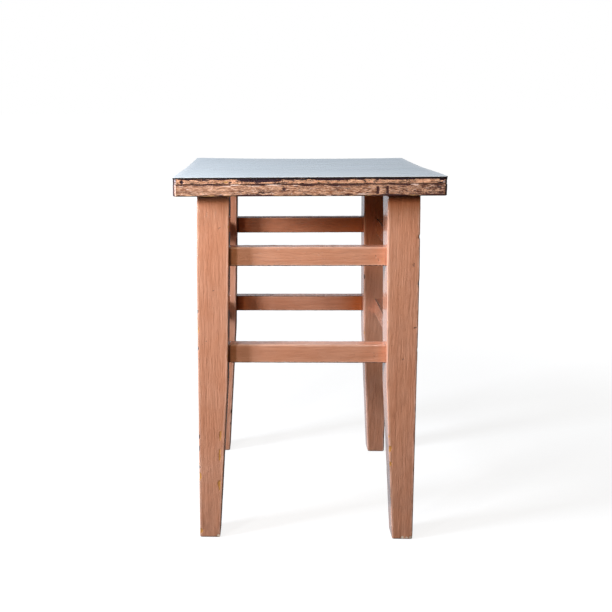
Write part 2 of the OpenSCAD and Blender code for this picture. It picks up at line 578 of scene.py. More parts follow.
class Effects:
    """The node groups that several finishes share."""

    def __init__(self) -> None:
        """Builds each group once."""
        self.trees = {
            "strokes": self.build_strokes(),
            "grain": self.build_grain(),
            "wear": self.build_wear(),
            "cracks": self.build_cracks(),
            "dust": self.build_dust(),
            "mottle": self.build_mottle(),
            "ragged": self.build_ragged(),
        }

    def use(self, sheet: NodeSheet, name: str, place: Socket, **given: Feed) -> Sockets:
        """Places a shared group in a finish.

        Args:
            sheet: The finish's sheet.
            name: The group's name in this class.
            place: Coordinates.
            **given: The group's other inputs, by name.

        Returns:
            Its outputs, by name.
        """
        return sheet.group(self.trees[name], {"Vector": place, **given}).outputs

    def cut(self, sheet: NodeSheet, place: Socket, name: str, fineness: float = 800.0) -> Socket:
        """A mesh attribute cut to a ragged mask.

        Args:
            sheet: The finish's sheet.
            place: Coordinates.
            name: The attribute.
            fineness: Cells to the metre of the ragged outline.

        Returns:
            The mask.
        """
        return self.use(sheet, "ragged", place, Value=sheet.attribute(name), Fineness=fineness)["Mask"]

    @staticmethod
    def build_strokes() -> bpy.types.NodeTree:
        """Brush strokes along the third coordinate: two stretched noises, one fine and one broad.

        Returns:
            The group.
        """
        inputs = {"Fineness": 700.0, "Length": 0.03}
        sheet, given, out = new_group("Brush strokes", inputs, ("Tone", "Height"))
        long = sheet.lengthen(given["Vector"], given["Length"])
        fine = sheet.noise(long, given["Fineness"], 4.0, 0.6, 0.2)
        broad = sheet.noise(long, sheet.times(given["Fineness"], 0.25), 3.0, 0.5, 0.3)
        tone = sheet.plus(sheet.times(fine, 0.6), sheet.times(broad, 0.4))
        sheet.feed(out["Tone"], sheet.between(tone, 0.34, 0.66))
        sheet.feed(out["Height"], tone)
        return sheet.tree

    @staticmethod
    def build_grain() -> bpy.types.NodeTree:
        """Wood grain along the third coordinate: wavering year rings in the section and short dark pores.

        Returns:
            The group.
        """
        sheet, given, out = new_group(
            "Wood grain", {"Rings": 260.0, "Pores": 1500.0}, ("Rings", "Pores", "Height"))
        long = sheet.stretch(given["Vector"], (1.0, 0.55, 0.05))
        rings = sheet.noise(long, given["Rings"], 2.0, 0.45, 1.2)
        short = sheet.stretch(given["Vector"], (1.0, 1.0, 0.035))
        pores = sheet.between(sheet.noise(short, given["Pores"], 2.0, 0.7, 0.2), 0.56, 0.72)
        sheet.feed(out["Rings"], sheet.between(rings, 0.36, 0.64))
        sheet.feed(out["Pores"], pores)
        sheet.feed(out["Height"], sheet.minus(sheet.times(rings, 0.6), pores))
        return sheet.tree

    @staticmethod
    def build_wear() -> bpy.types.NodeTree:
        """Wear near arrises: closeness to one times a patchy noise, cut at a soft and at a hard limit.

        Returns:
            The group.
        """
        sheet, given, out = new_group(
            "Edge wear", {"Arris": 0.0, "Amount": 0.5, "Patches": 60.0}, ("Rub", "Chip"))
        patch = sheet.noise(given["Vector"], given["Patches"], 5.0, 0.62, 0.3)
        fine = sheet.noise(given["Vector"], sheet.times(given["Patches"], 7.0), 3.0, 0.6)
        reach = sheet.times(given["Arris"], sheet.plus(patch, given["Amount"]))
        ragged = sheet.plus(reach, sheet.times(sheet.minus(fine, 0.5), 0.35))
        sheet.feed(out["Rub"], sheet.between(ragged, 0.45, 0.95))
        sheet.feed(out["Chip"], sheet.between(ragged, 1.06, 1.14))
        return sheet.tree

    @staticmethod
    def build_cracks() -> bpy.types.NodeTree:
        """Ragged cracks along the third coordinate, where a bent noise is near its middle, and gaps.

        Returns:
            The group.
        """
        sheet, given, out = new_group(
            "Cracks", {"Fineness": 420.0, "Length": 0.12, "Width": 0.03, "Amount": 0.5},
            ("Cracks", "Gaps", "Height"))
        long = sheet.lengthen(given["Vector"], given["Length"])
        lines = sheet.noise(long, given["Fineness"], 3.0, 0.6, 1.0)
        near = sheet.math("ABSOLUTE", sheet.minus(lines, 0.5))
        patch = sheet.noise(long, sheet.times(given["Fineness"], 0.3), 3.0, 0.6, 0.5)
        cracked = sheet.between(patch, sheet.minus(0.72, sheet.times(given["Amount"], 0.4)), 0.74)
        crack = sheet.times(sheet.between(near, 0.0, given["Width"], 1.0, 0.0), cracked)
        holes = sheet.noise(long, sheet.times(given["Fineness"], 0.6), 4.0, 0.7, 0.8)
        gaps = sheet.between(holes, 0.6, 0.68)
        sheet.feed(out["Cracks"], crack)
        sheet.feed(out["Gaps"], sheet.times(gaps, given["Amount"]))
        sheet.feed(out["Height"], sheet.minus(lines, sheet.math("MAXIMUM", crack, gaps)))
        return sheet.tree

    @staticmethod
    def build_dust() -> bpy.types.NodeTree:
        """Specks and a soft film: a fine cut noise for the specks and a broad one for the film.

        Returns:
            The group.
        """
        sheet, given, out = new_group("Dust", {"Specks": 900.0, "Film": 22.0}, ("Specks", "Film"))
        specks = sheet.noise(given["Vector"], given["Specks"], 2.0, 0.5)
        film = sheet.noise(given["Vector"], given["Film"], 4.0, 0.6, 0.4)
        sheet.feed(out["Specks"], sheet.between(specks, 0.7, 0.76))
        sheet.feed(out["Film"], sheet.between(film, 0.35, 0.7))
        return sheet.tree

    @staticmethod
    def build_mottle() -> bpy.types.NodeTree:
        """Long low blotches: a soft noise for the tone, and two more cut to dark and light spots.

        Returns:
            The group.
        """
        sheet, given, out = new_group(
            "Mottle", {"Fineness": 420.0, "Length": 0.4, "Amount": 0.5}, ("Tone", "Dark", "Light"))
        long = sheet.lengthen(given["Vector"], given["Length"])
        soft = sheet.noise(long, given["Fineness"], 3.0, 0.65, 0.7)
        dark = sheet.noise(long, sheet.times(given["Fineness"], 0.77), 4.0, 0.7, 1.1)
        light = sheet.noise(long, sheet.times(given["Fineness"], 1.31), 2.0, 0.6, 0.4)
        limit = sheet.minus(0.68, sheet.times(given["Amount"], 0.2))
        sheet.feed(out["Tone"], sheet.between(soft, 0.4, 0.6))
        sheet.feed(out["Dark"], sheet.between(dark, limit, sheet.plus(limit, 0.05)))
        sheet.feed(out["Light"], sheet.between(light, 0.6, 0.68))
        return sheet.tree

    @staticmethod
    def build_ragged() -> bpy.types.NodeTree:
        """A soft value cut to a ragged mask: fine noise is added before the cut, where there is a value.

        Returns:
            The group.
        """
        sheet, given, out = new_group("Ragged mask", {"Value": 0.0, "Fineness": 800.0}, ("Mask",))
        noise = sheet.noise(given["Vector"], given["Fineness"], 3.0, 0.6, 0.3)
        level = sheet.math("MULTIPLY_ADD", sheet.minus(noise, 0.5), 1.5, given["Value"])
        inside = sheet.between(given["Value"], 0.03, 0.2)
        sheet.feed(out["Mask"], sheet.times(sheet.between(level, 0.35, 0.6), inside))
        return sheet.tree


def new_material(name: str) -> tuple[bpy.types.Material, NodeSheet]:
    """Starts an empty node material.

    Args:
        name: The material's name.

    Returns:
        The material and the sheet to build on.
    """
    material = bpy.data.materials.new(name)
    material.use_nodes = True
    material.node_tree.nodes.clear()
    return material, NodeSheet(material.node_tree)


@dataclass(frozen=True)
class PaintFinish:
    """Old brushed enamel on wood, rubbed lighter on the arrises in a colour pale enough to be a painted
    highlight too, and chipped to the wood here and there.

    Where a piece carries painted shade, its linear colour is multiplied towards painted_shade, a darker,
    deeper tint that stands in for shade. In each finish, relief is the bump's height in metres.
    """

    name: str = "wood_paint"
    coat: Triple = srgb(218, 156, 125)
    deep: Triple = srgb(186, 120, 88)
    rubbed_and_highlight: Triple = srgb(240, 198, 178)
    wood: Triple = srgb(202, 142, 74)
    grime_and_shade: Triple = srgb(62, 34, 24)
    filler: Triple = srgb(236, 214, 190)
    painted_shade: Triple = (0.72, 0.4, 0.18)
    relief: float = 0.0008

    def build(self, effects: Effects) -> bpy.types.Material:
        """Makes the material.

        Args:
            effects: The shared node groups.

        Returns:
            The material. Its clear coat is missing on the dark value, which holds dark dirt and painted
            shade.
        """
        material, sheet = new_material(self.name)
        place = sheet.attribute(GRAIN, vector=True)
        strokes = effects.use(sheet, "strokes", place, Fineness=480.0, Length=0.09)
        grain = effects.use(sheet, "grain", place, Rings=170.0, Pores=1500.0)
        wear = effects.use(sheet, "wear", place, Arris=sheet.attribute(ARRIS), Amount=0.42, Patches=45.0)
        dust = effects.use(sheet, "dust", place, Specks=700.0, Film=16.0)
        soiled_and_shaded = sheet.times(sheet.attribute(DIRT_AND_SHADE), sheet.plus(dust["Film"], 0.45))
        bare = sheet.math("MAXIMUM", wear["Chip"], effects.cut(sheet, place, BARE))
        dark = effects.cut(sheet, place, DARK)
        color = sheet.layers(self.coat, (
            (strokes["Tone"], 0.42, self.deep),
            (grain["Rings"], 0.22, self.deep),
        ))
        color = sheet.blend(sheet.times(grain["Pores"], 0.07), color, self.deep, "MULTIPLY")
        # Dust film and rubbed arrises in the rubbed colour, which is partly wear and partly a painted
        # highlight.
        color = sheet.layers(color, (
            (dust["Film"], 0.14, self.rubbed_and_highlight),
            (wear["Rub"], 0.4, self.rubbed_and_highlight),
            (dust["Specks"], 0.5, self.grime_and_shade),
        ))
        # Painted shade: the colour is made darker and deeper where shade falls on the frame.
        color = sheet.blend(sheet.attribute(PAINTED_SHADE), color, self.painted_shade, "MULTIPLY")
        # The grime colour paints dirt and painted shade alike: the soft value holds dirt at joints and soles
        # and painted shade on inner faces and at the rails' left ends; the dark value holds dark marks and
        # painted shade lines along the rails.
        color = sheet.layers(color, (
            (sheet.between(soiled_and_shaded, 0.1, 1.0), 0.8, self.grime_and_shade),
            (bare, 1.0, self.wood),
            (dark, 1.0, self.grime_and_shade),
            (effects.cut(sheet, place, PALE), 1.0, self.filler),
        ))
        rough = sheet.math("MULTIPLY_ADD", dark, 0.5, 0.14)
        rough = sheet.plus(rough, sheet.times(strokes["Tone"], 0.14))
        rough = sheet.plus(rough, sheet.times(bare, 0.3))
        height = sheet.math("MULTIPLY_ADD", grain["Height"], 0.15, strokes["Height"])
        normal = sheet.bump(sheet.minus(height, sheet.times(bare, 0.4)), self.relief)
        shader = sheet.surface(color, rough, normal, Specular_IOR_Level=0.5, Coat_Roughness=0.12)
        sheet.feed(shader.inputs["Coat Weight"], sheet.math("MULTIPLY_ADD", dark, -0.6, 0.6))
        return material


@dataclass(frozen=True)
class BoardEdgeFinish:
    """The same paint on the seat's lower board, rubbed and scraped to streaks along its edge."""

    name: str = "seat_edge_paint"
    coat: Triple = srgb(234, 186, 156)
    scraped: Triple = srgb(140, 90, 64)
    ochre: Triple = srgb(206, 164, 106)
    shade: Triple = srgb(70, 38, 38)
    pale: Triple = srgb(228, 200, 188)
    relief: float = 0.0012

    def build(self, effects: Effects) -> bpy.types.Material:
        """Makes the material.

        Args:
            effects: The shared node groups.

        Returns:
            The material. Its dark spots grow stronger towards the right.
        """
        material, sheet = new_material(self.name)
        place = sheet.attribute(GRAIN, vector=True)
        strokes = effects.use(sheet, "strokes", place, Fineness=520.0, Length=0.08)
        mottle = effects.use(sheet, "mottle", place, Fineness=600.0, Length=0.24, Amount=0.76)
        cracks = effects.use(sheet, "cracks", place, Fineness=420.0, Length=0.14, Width=0.035, Amount=0.45)
        wear = effects.use(sheet, "wear", place, Arris=sheet.attribute(ARRIS), Amount=0.62, Patches=70.0)
        dust = effects.use(sheet, "dust", place, Specks=620.0, Film=40.0)
        across = sheet.node("SeparateXYZ", {0: sheet.node("TexCoord", {}).outputs["Object"]}).outputs[0]
        worn = sheet.between(across, -0.13, 0.12, 0.4, 0.9)
        color = sheet.layers(self.coat, (
            (mottle["Tone"], 1.0, self.scraped),
            (strokes["Tone"], 0.4, self.scraped),
            (dust["Film"], 0.25, self.coat),
            (sheet.times(mottle["Dark"], worn), 1.0, self.shade),
            (mottle["Light"], 0.75, self.pale),
            (wear["Rub"], 0.7, self.ochre),
            (cracks["Cracks"], 0.85, self.shade),
            (cracks["Gaps"], 0.5, self.shade),
            (dust["Specks"], 1.0, self.pale),
            (effects.cut(sheet, place, DIRT_AND_SHADE, 420.0), 0.9, self.shade),
            (effects.cut(sheet, place, BARE), 1.0, self.ochre),
            # Dark marks and seams, with painted shade at the front corners; then pale specks and glints,
            # with a painted highlight at the left front corner.
            (effects.cut(sheet, place, DARK), 1.0, self.shade),
            (effects.cut(sheet, place, PALE), 1.0, self.pale),
        ))
        rough = sheet.between(strokes["Tone"], 0.0, 1.0, 0.42, 0.62)
        height = sheet.plus(sheet.times(strokes["Height"], 0.7), sheet.times(cracks["Height"], 0.6))
        sheet.surface(color, rough, sheet.bump(height, self.relief), Specular_IOR_Level=0.4)
        return material


@dataclass(frozen=True)
class PlyEdgeFinish:
    """The upper board's raw edge: thin layers of veneer, split and stained, with remains of the paint."""

    name: str = "ply_edge"
    veneer: Triple = srgb(244, 196, 160)
    layer: Triple = srgb(214, 150, 118)
    stain_and_shade: Triple = srgb(50, 26, 38)
    ochre: Triple = srgb(232, 180, 84)
    pale: Triple = srgb(214, 200, 208)
    layer_height: float = 0.0031
    relief: float = 0.0015

    def build(self, effects: Effects) -> bpy.types.Material:
        """Makes the material.

        Args:
            effects: The shared node groups.

        Returns:
            The material. Its layers are a sine of the height.
        """
        material, sheet = new_material(self.name)
        place = sheet.attribute(GRAIN, vector=True)
        strokes = effects.use(sheet, "strokes", place, Fineness=560.0, Length=0.1)
        mottle = effects.use(sheet, "mottle", place, Fineness=350.0, Length=0.42, Amount=0.6)
        cracks = effects.use(sheet, "cracks", place, Fineness=400.0, Length=0.3, Width=0.06, Amount=0.7)
        wear = effects.use(sheet, "wear", place, Arris=sheet.attribute(ARRIS), Amount=0.5, Patches=90.0)
        dust = effects.use(sheet, "dust", place, Specks=520.0)
        level = sheet.node("SeparateXYZ", {0: place}).outputs[1]
        bands = sheet.math("SINE", sheet.times(level, 2 * pi / self.layer_height))
        color = sheet.layers(self.veneer, (
            (sheet.between(bands, -0.4, 0.6), 0.35, self.layer),
            (strokes["Tone"], 0.5, self.layer),
            (mottle["Tone"], 0.6, self.layer),
            (mottle["Light"], 0.6, self.veneer),
            (mottle["Dark"], 0.9, self.stain_and_shade),
            (cracks["Cracks"], 0.95, self.stain_and_shade),
            (cracks["Gaps"], 0.9, self.stain_and_shade),
            (wear["Rub"], 0.25, self.stain_and_shade),
            (dust["Specks"], 1.0, self.ochre),
            (effects.cut(sheet, place, DIRT_AND_SHADE, 420.0), 0.95, self.stain_and_shade),
            (effects.cut(sheet, place, BARE), 1.0, self.ochre),
            # Dark marks and seams, with painted shade at the front corners; then pale specks and glints,
            # with a painted highlight at the left front corner.
            (effects.cut(sheet, place, DARK), 1.0, self.stain_and_shade),
            (effects.cut(sheet, place, PALE), 1.0, self.pale),
        ))
        rough = sheet.between(strokes["Tone"], 0.0, 1.0, 0.5, 0.75)
        height = sheet.plus(sheet.times(strokes["Height"], 0.5), cracks["Height"])
        sheet.surface(color, rough, sheet.bump(height, self.relief), Specular_IOR_Level=0.3)
        return material


@dataclass(frozen=True)
class LaminateFinish:
    """Pale blue-grey laminate, smudged and finely scratched, with its dark core showing on the edge and a
    painted highlight along its top border.
    """

    name: str = "laminate"
    face: Triple = srgb(208, 222, 231)
    smudge: Triple = srgb(217, 227, 234)
    core: Triple = srgb(22, 16, 20)
    scratch_and_highlight: Triple = srgb(236, 243, 248)
    scratch_turn: float = 0.06
    relief: float = 0.000008

    def build(self, effects: Effects) -> bpy.types.Material:
        """Makes the material.

        Args:
            effects: The shared node groups.

        Returns:
            The material. The mesh's dark value marks the core, and its arris value a painted highlight along
            the border.
        """
        material, sheet = new_material(self.name)
        place = sheet.node("TexCoord", {}).outputs["Object"]
        film = effects.use(sheet, "dust", place, Film=9.0)["Film"]
        turn = (0.0, 0.0, self.scratch_turn)
        turned = sheet.node("Mapping", {"Vector": place, "Rotation": turn}).outputs[0]
        lines = sheet.noise(sheet.stretch(turned, (0.05, 1.0, 1.0)), 230.0, 2.0, 0.5)
        scratches = sheet.between(lines, 0.7, 0.78)
        clouds = sheet.noise(sheet.stretch(place, (0.25, 1.0, 1.0)), 38.0, 4.0, 0.5, 0.5)
        wipes = sheet.between(clouds, 0.3, 0.8)
        highlight_border = sheet.between(sheet.attribute(ARRIS), 0.3, 1.0)
        edge = sheet.between(sheet.attribute(DARK), 0.35, 0.65)
        color = sheet.layers(self.face, (
            (film, 0.55, self.smudge),
            (wipes, 0.3, self.smudge),
            (scratches, 0.75, self.scratch_and_highlight),
            # Painted highlight: a pale band along the top's border, in the scratch colour.
            (sheet.times(highlight_border, sheet.math("MULTIPLY_ADD", film, 0.5, 0.4)), 1.0, self.scratch_and_highlight),
            (edge, 1.0, self.core),
        ))
        rough = sheet.plus(sheet.math("MULTIPLY_ADD", wipes, 0.06, 0.26), sheet.times(edge, 0.35))
        height = sheet.minus(sheet.times(wipes, 0.2), scratches)
        sheet.surface(color, rough, sheet.bump(height, self.relief), Specular_IOR_Level=0.5)
        return material


@dataclass(frozen=True)
class BareWoodFinish:
    """Unpainted softwood, for the wedges inside the seat."""

    name: str = "bare_wood"
    early: Triple = srgb(214, 178, 128)
    late: Triple = srgb(172, 122, 74)
    relief: float = 0.0004

    def build(self, effects: Effects) -> bpy.types.Material:
        """Makes the material.

        Args:
            effects: The shared node groups.

        Returns:
            The material.
        """
        material, sheet = new_material(self.name)
        place = sheet.node("TexCoord", {}).outputs["Object"]
        grain = effects.use(sheet, "grain", place, Rings=420.0, Pores=1800.0)
        color = sheet.blend(grain["Rings"], self.early, self.late)
        color = sheet.blend(sheet.times(grain["Pores"], 0.5), color, self.late, "MULTIPLY")
        rough = sheet.between(grain["Rings"], 0.0, 1.0, 0.55, 0.7)
        sheet.surface(color, rough, sheet.bump(grain["Height"], self.relief), Specular_IOR_Level=0.4)
        return material


@dataclass(frozen=True)
class FrameSizes:
    """Sizes of the leg frame, as the CAD source has them."""

    leg_h: float = 428.5
    frame_w: float = 254.0
    frame_d: float = 257.0
    leg_w: float = 37.0
    leg_lean: float = 8.2
    outer_taper_z: float = 335.0
    outer_taper: float = 4.0
    inner_taper_z: float = 200.0
    inner_taper: float = 8.0
    rail_h: float = 22.5
    rail_t: float = 15.0
    upper_rail_z: float = 342.5
    lower_rail_z: float = 224.0
    front_rail_set: float = 11.0
    side_rail_set: float = 4.6
    tenon_t: float = 7.0
    tenon_shoulder: float = 3.0
    tenon_l: float = 17.0
    seat_tenon_w: float = 20.0
    seat_tenon_h: float = 12.8

    def lean(self, z: Array) -> Array:
        """How far out the leg has leant at a height: lean * (1 - z / leg_h)."""
        return self.leg_lean * (1 - z / self.leg_h)

    def outer(self, z: Array) -> Array:
        """The outer face's place: leg_w / 2 + lean - outer_taper * max(0, 1 - z / outer_taper_z)."""
        return self.leg_w / 2 + self.lean(z) - self.outer_taper * np.maximum(0, 1 - z / self.outer_taper_z)

    def inner(self, z: Array) -> Array:
        """The inner face's place: -leg_w / 2 + lean + inner_taper * max(0, 1 - z / inner_taper_z)."""
        return -self.leg_w / 2 + self.lean(z) + self.inner_taper * np.maximum(0, 1 - z / self.inner_taper_z)

    def leg_place(self) -> tuple[float, float]:
        """The centre of a leg's top from the seat's centre, in X and in Y."""
        return (self.frame_w - self.leg_w) / 2, (self.frame_d - self.leg_w) / 2


def closeness(distance: Array, reach: float) -> Array:
    """1 on a line or face, falling on both sides as exp(-(distance / reach)^2)."""
    return np.exp(-((distance / reach) ** 2))


def fading(distance: Array, reach: float) -> Array:
    """1 on a line or face and before it, falling past it as exp(-distance / reach)."""
    return np.exp(-(distance.clip(0) / reach))


def ring_place(points: Array) -> Pair:
    """Each point's share round its ring and along its rows, 0 to 1, as grids."""
    rows, cols = points.shape[:2]
    u, v = np.meshgrid(np.arange(cols) / cols, np.arange(rows) / (rows - 1))
    return u, v


@dataclass(kw_only=True)
class Timber:
    """A painted piece of the leg frame. Its painted_shade value is how much painted shade, a darker and
    deeper colour, it carries.
    """

    node: str
    sizes: FrameSizes
    seed: int
    marks: tuple[Mark, ...] = ()
    ripple: float = 0.09
    painted_shade: float = 0.0

    def skin(self) -> tuple[Skin, Array]:
        """The surface and its grain coordinates, which each kind of piece makes in its own way."""
        raise NotImplementedError

    def build(self, paint: bpy.types.Material) -> None:
        """Makes and dresses the piece.

        Args:
            paint: Its finish.
        """
        skin, grain = self.skin()
        dress(skin.piece(self.node + ".wood", grain), paint, self.node)


@dataclass(kw_only=True)
class Leg(Timber):
    """A square leg, tapered inside below the rails and leaning outwards towards the floor.

    The fields from under_seat_dark on are its soiling, wear, darkening and painted shade, 0 to 1, and how
    far each kind reaches in millimetres.
    """

    side: Side
    end: Side
    arris_r: float = 1.5
    arris_reach: float = 2.6
    foot_r: float = 2.4
    row_step: float = 1.5
    chip_count: int = 16
    under_seat_dark: float = 0.75
    sole_dirt: float = 0.5
    dirt_reach: float = 5.0
    foot_dark: float = 0.0
    foot_dark_height: float = 140.0
    foot_rub_reach: float = 3.0
    sole_bare: float = 0.8
    inner_shade: float = 0.0
    inner_shade_height: float = 250.0
    painted_shade_from: float = 240.0
    painted_shade_over: float = 140.0
    seat_shade: float = 0.0
    seat_shade_reach: float = 14.0

    def rows(self) -> Pair:
        """Heights of the rings and how far each is drawn in from the leg's faces.

        Returns:
            Height and inset: the sole, a quarter round of foot_r at its edge, and the shaft.
        """
        turn = np.linspace(0, pi / 2, 6)
        sole_inset = np.array([9.0, 6.0, 4.0])
        shaft = np.arange(self.foot_r, self.sizes.leg_h, self.row_step)[1:]
        z = np.concatenate([np.zeros(3), self.foot_r * (1 - np.cos(turn)), shaft, [self.sizes.leg_h]])
        inset = np.concatenate([sole_inset, self.foot_r * (1 - np.sin(turn)), np.zeros(len(shaft) + 1)])
        return z, inset

    def skin(self) -> tuple[Skin, Array]:
        """Carries a rounded square up the leg, and then up its tenon.

        The centre is the mean of the outer and inner faces. The half size is half their gap, less the inset.

        Returns:
            The surface and its grain coordinates.
        """
        z, inset = self.rows()
        out = self.sizes.outer(z)
        into = self.sizes.inner(z)
        place_x, place_y = self.sizes.leg_place()
        top = self.sizes.leg_h
        z = np.concatenate([z, [top, top + self.sizes.seat_tenon_h]])
        centre_x = self.side.value * np.concatenate([place_x + (out + into) / 2, np.full(2, place_x)])
        centre_y = self.end.value * np.concatenate([place_y + (out + into) / 2, np.full(2, place_y)])
        half = np.concatenate([(out - into) / 2 - inset, np.full(2, self.sizes.seat_tenon_w / 2)])
        ring = RoundedRing(per_side=16, per_corner=6)
        a, b = ring.carry((centre_x, centre_y), (half, half), np.full(len(z), self.arris_r))
        skin = Skin(Axis.Z.place(a, b, z[:, None]))
        grain = skin.points + np.array([0.0, 0.0, GRAIN_APART * self.seed])
        skin.raise_value(ARRIS, closeness(ring.edge_distance((half, half)), self.arris_reach))
        height = z[:, None] + np.zeros_like(a)
        inner = self.side.value * (skin.points[..., 0] - centre_x[:, None]) < 0.5 - half[:, None]
        self.soil_and_shade(skin, height, inner)
        body = (height > self.foot_r) & (height < top - 1)
        relief = Relief(self.seed, across=16, along=40).at(*ring_place(skin.points))
        skin.push(np.where(body, self.ripple * relief, 0.0))
        skin.mark(self.marks + self.chips())
        return skin, grain

    def soil_and_shade(self, skin: Skin, height: Array, inner: Array) -> None:
        """Soils, darkens and rubs the leg, and paints shade on it.

        The darkening is the most of four: under_seat_dark just under the seat and sole_dirt at the sole,
        both fading over dirt_reach; foot_dark * (1 - height / foot_dark_height), darker towards the floor;
        and, on the inner face, painted shade of inner_shade * (1.3 - height / inner_shade_height). Painted
        shade as a deeper colour grows with (height - painted_shade_from) / painted_shade_over, and
        seat_shade adds some just under the seat.

        Args:
            skin: The leg's surface.
            height: Height above the floor, rows by ring points.
            inner: True on the face towards the other leg of the pair.
        """
        below_seat = self.sizes.leg_h - height
        grime_and_shade = (1.3 - height / self.inner_shade_height).clip(0, 1)
        shade_share = ((height - self.painted_shade_from) / self.painted_shade_over).clip(0, 1)
        # Darker just under the seat.
        skin.raise_value(DIRT_AND_SHADE, self.under_seat_dark * fading(below_seat, self.dirt_reach))
        skin.raise_value(DIRT_AND_SHADE, self.sole_dirt * fading(height, self.dirt_reach))
        # Darker towards the floor.
        skin.raise_value(DIRT_AND_SHADE, self.foot_dark * (1 - height / self.foot_dark_height))
        # Painted shade on the inner face, stronger lower down.
        skin.raise_value(DIRT_AND_SHADE, self.inner_shade * inner * grime_and_shade)
        # Painted shade: a deeper, darker colour higher up the leg, and just under the seat.
        skin.raise_value(PAINTED_SHADE, self.painted_shade * shade_share)
        skin.raise_value(PAINTED_SHADE, self.seat_shade * closeness(below_seat, self.seat_shade_reach))
        skin.raise_value(ARRIS, closeness(height, self.foot_rub_reach))
        skin.raise_value(BARE, self.sole_bare * (height == 0))

    def chips(self) -> tuple[Mark, ...]:
        """Small chips strewn along the leg's own arrises, from 8 mm above the floor to 32 mm under the seat.

        Returns:
            The chips. One of size s, 0 to 1, reaches 1.2 + s across and 1.5 + 4 s^2 up and down, and is
            0.25 + 0.3 s deep. The smaller ones show bare wood and the larger ones dirt.
        """
        rng = np.random.default_rng(self.seed * 31)
        place_x, place_y = self.sizes.leg_place()
        found = []
        for height, pick_x, pick_y, size in rng.random((self.chip_count, 4)):
            z = 8 + height * (self.sizes.leg_h - 40)
            faces = (self.sizes.outer(z), self.sizes.inner(z))
            x = self.side.value * (place_x + float(faces[0 if pick_x < 0.5 else 1]))
            y = self.end.value * (place_y + float(faces[0 if pick_y < 0.5 else 1]))
            reach = (1.2 + size, 1.2 + size, 1.5 + 4 * size * size)
            tone = Tone.BARE if size < 0.55 else Tone.DARK
            found.append(Mark((x, y, z), reach, 0.25 + 0.3 * size, tone, 0.7))
        return tuple(found)


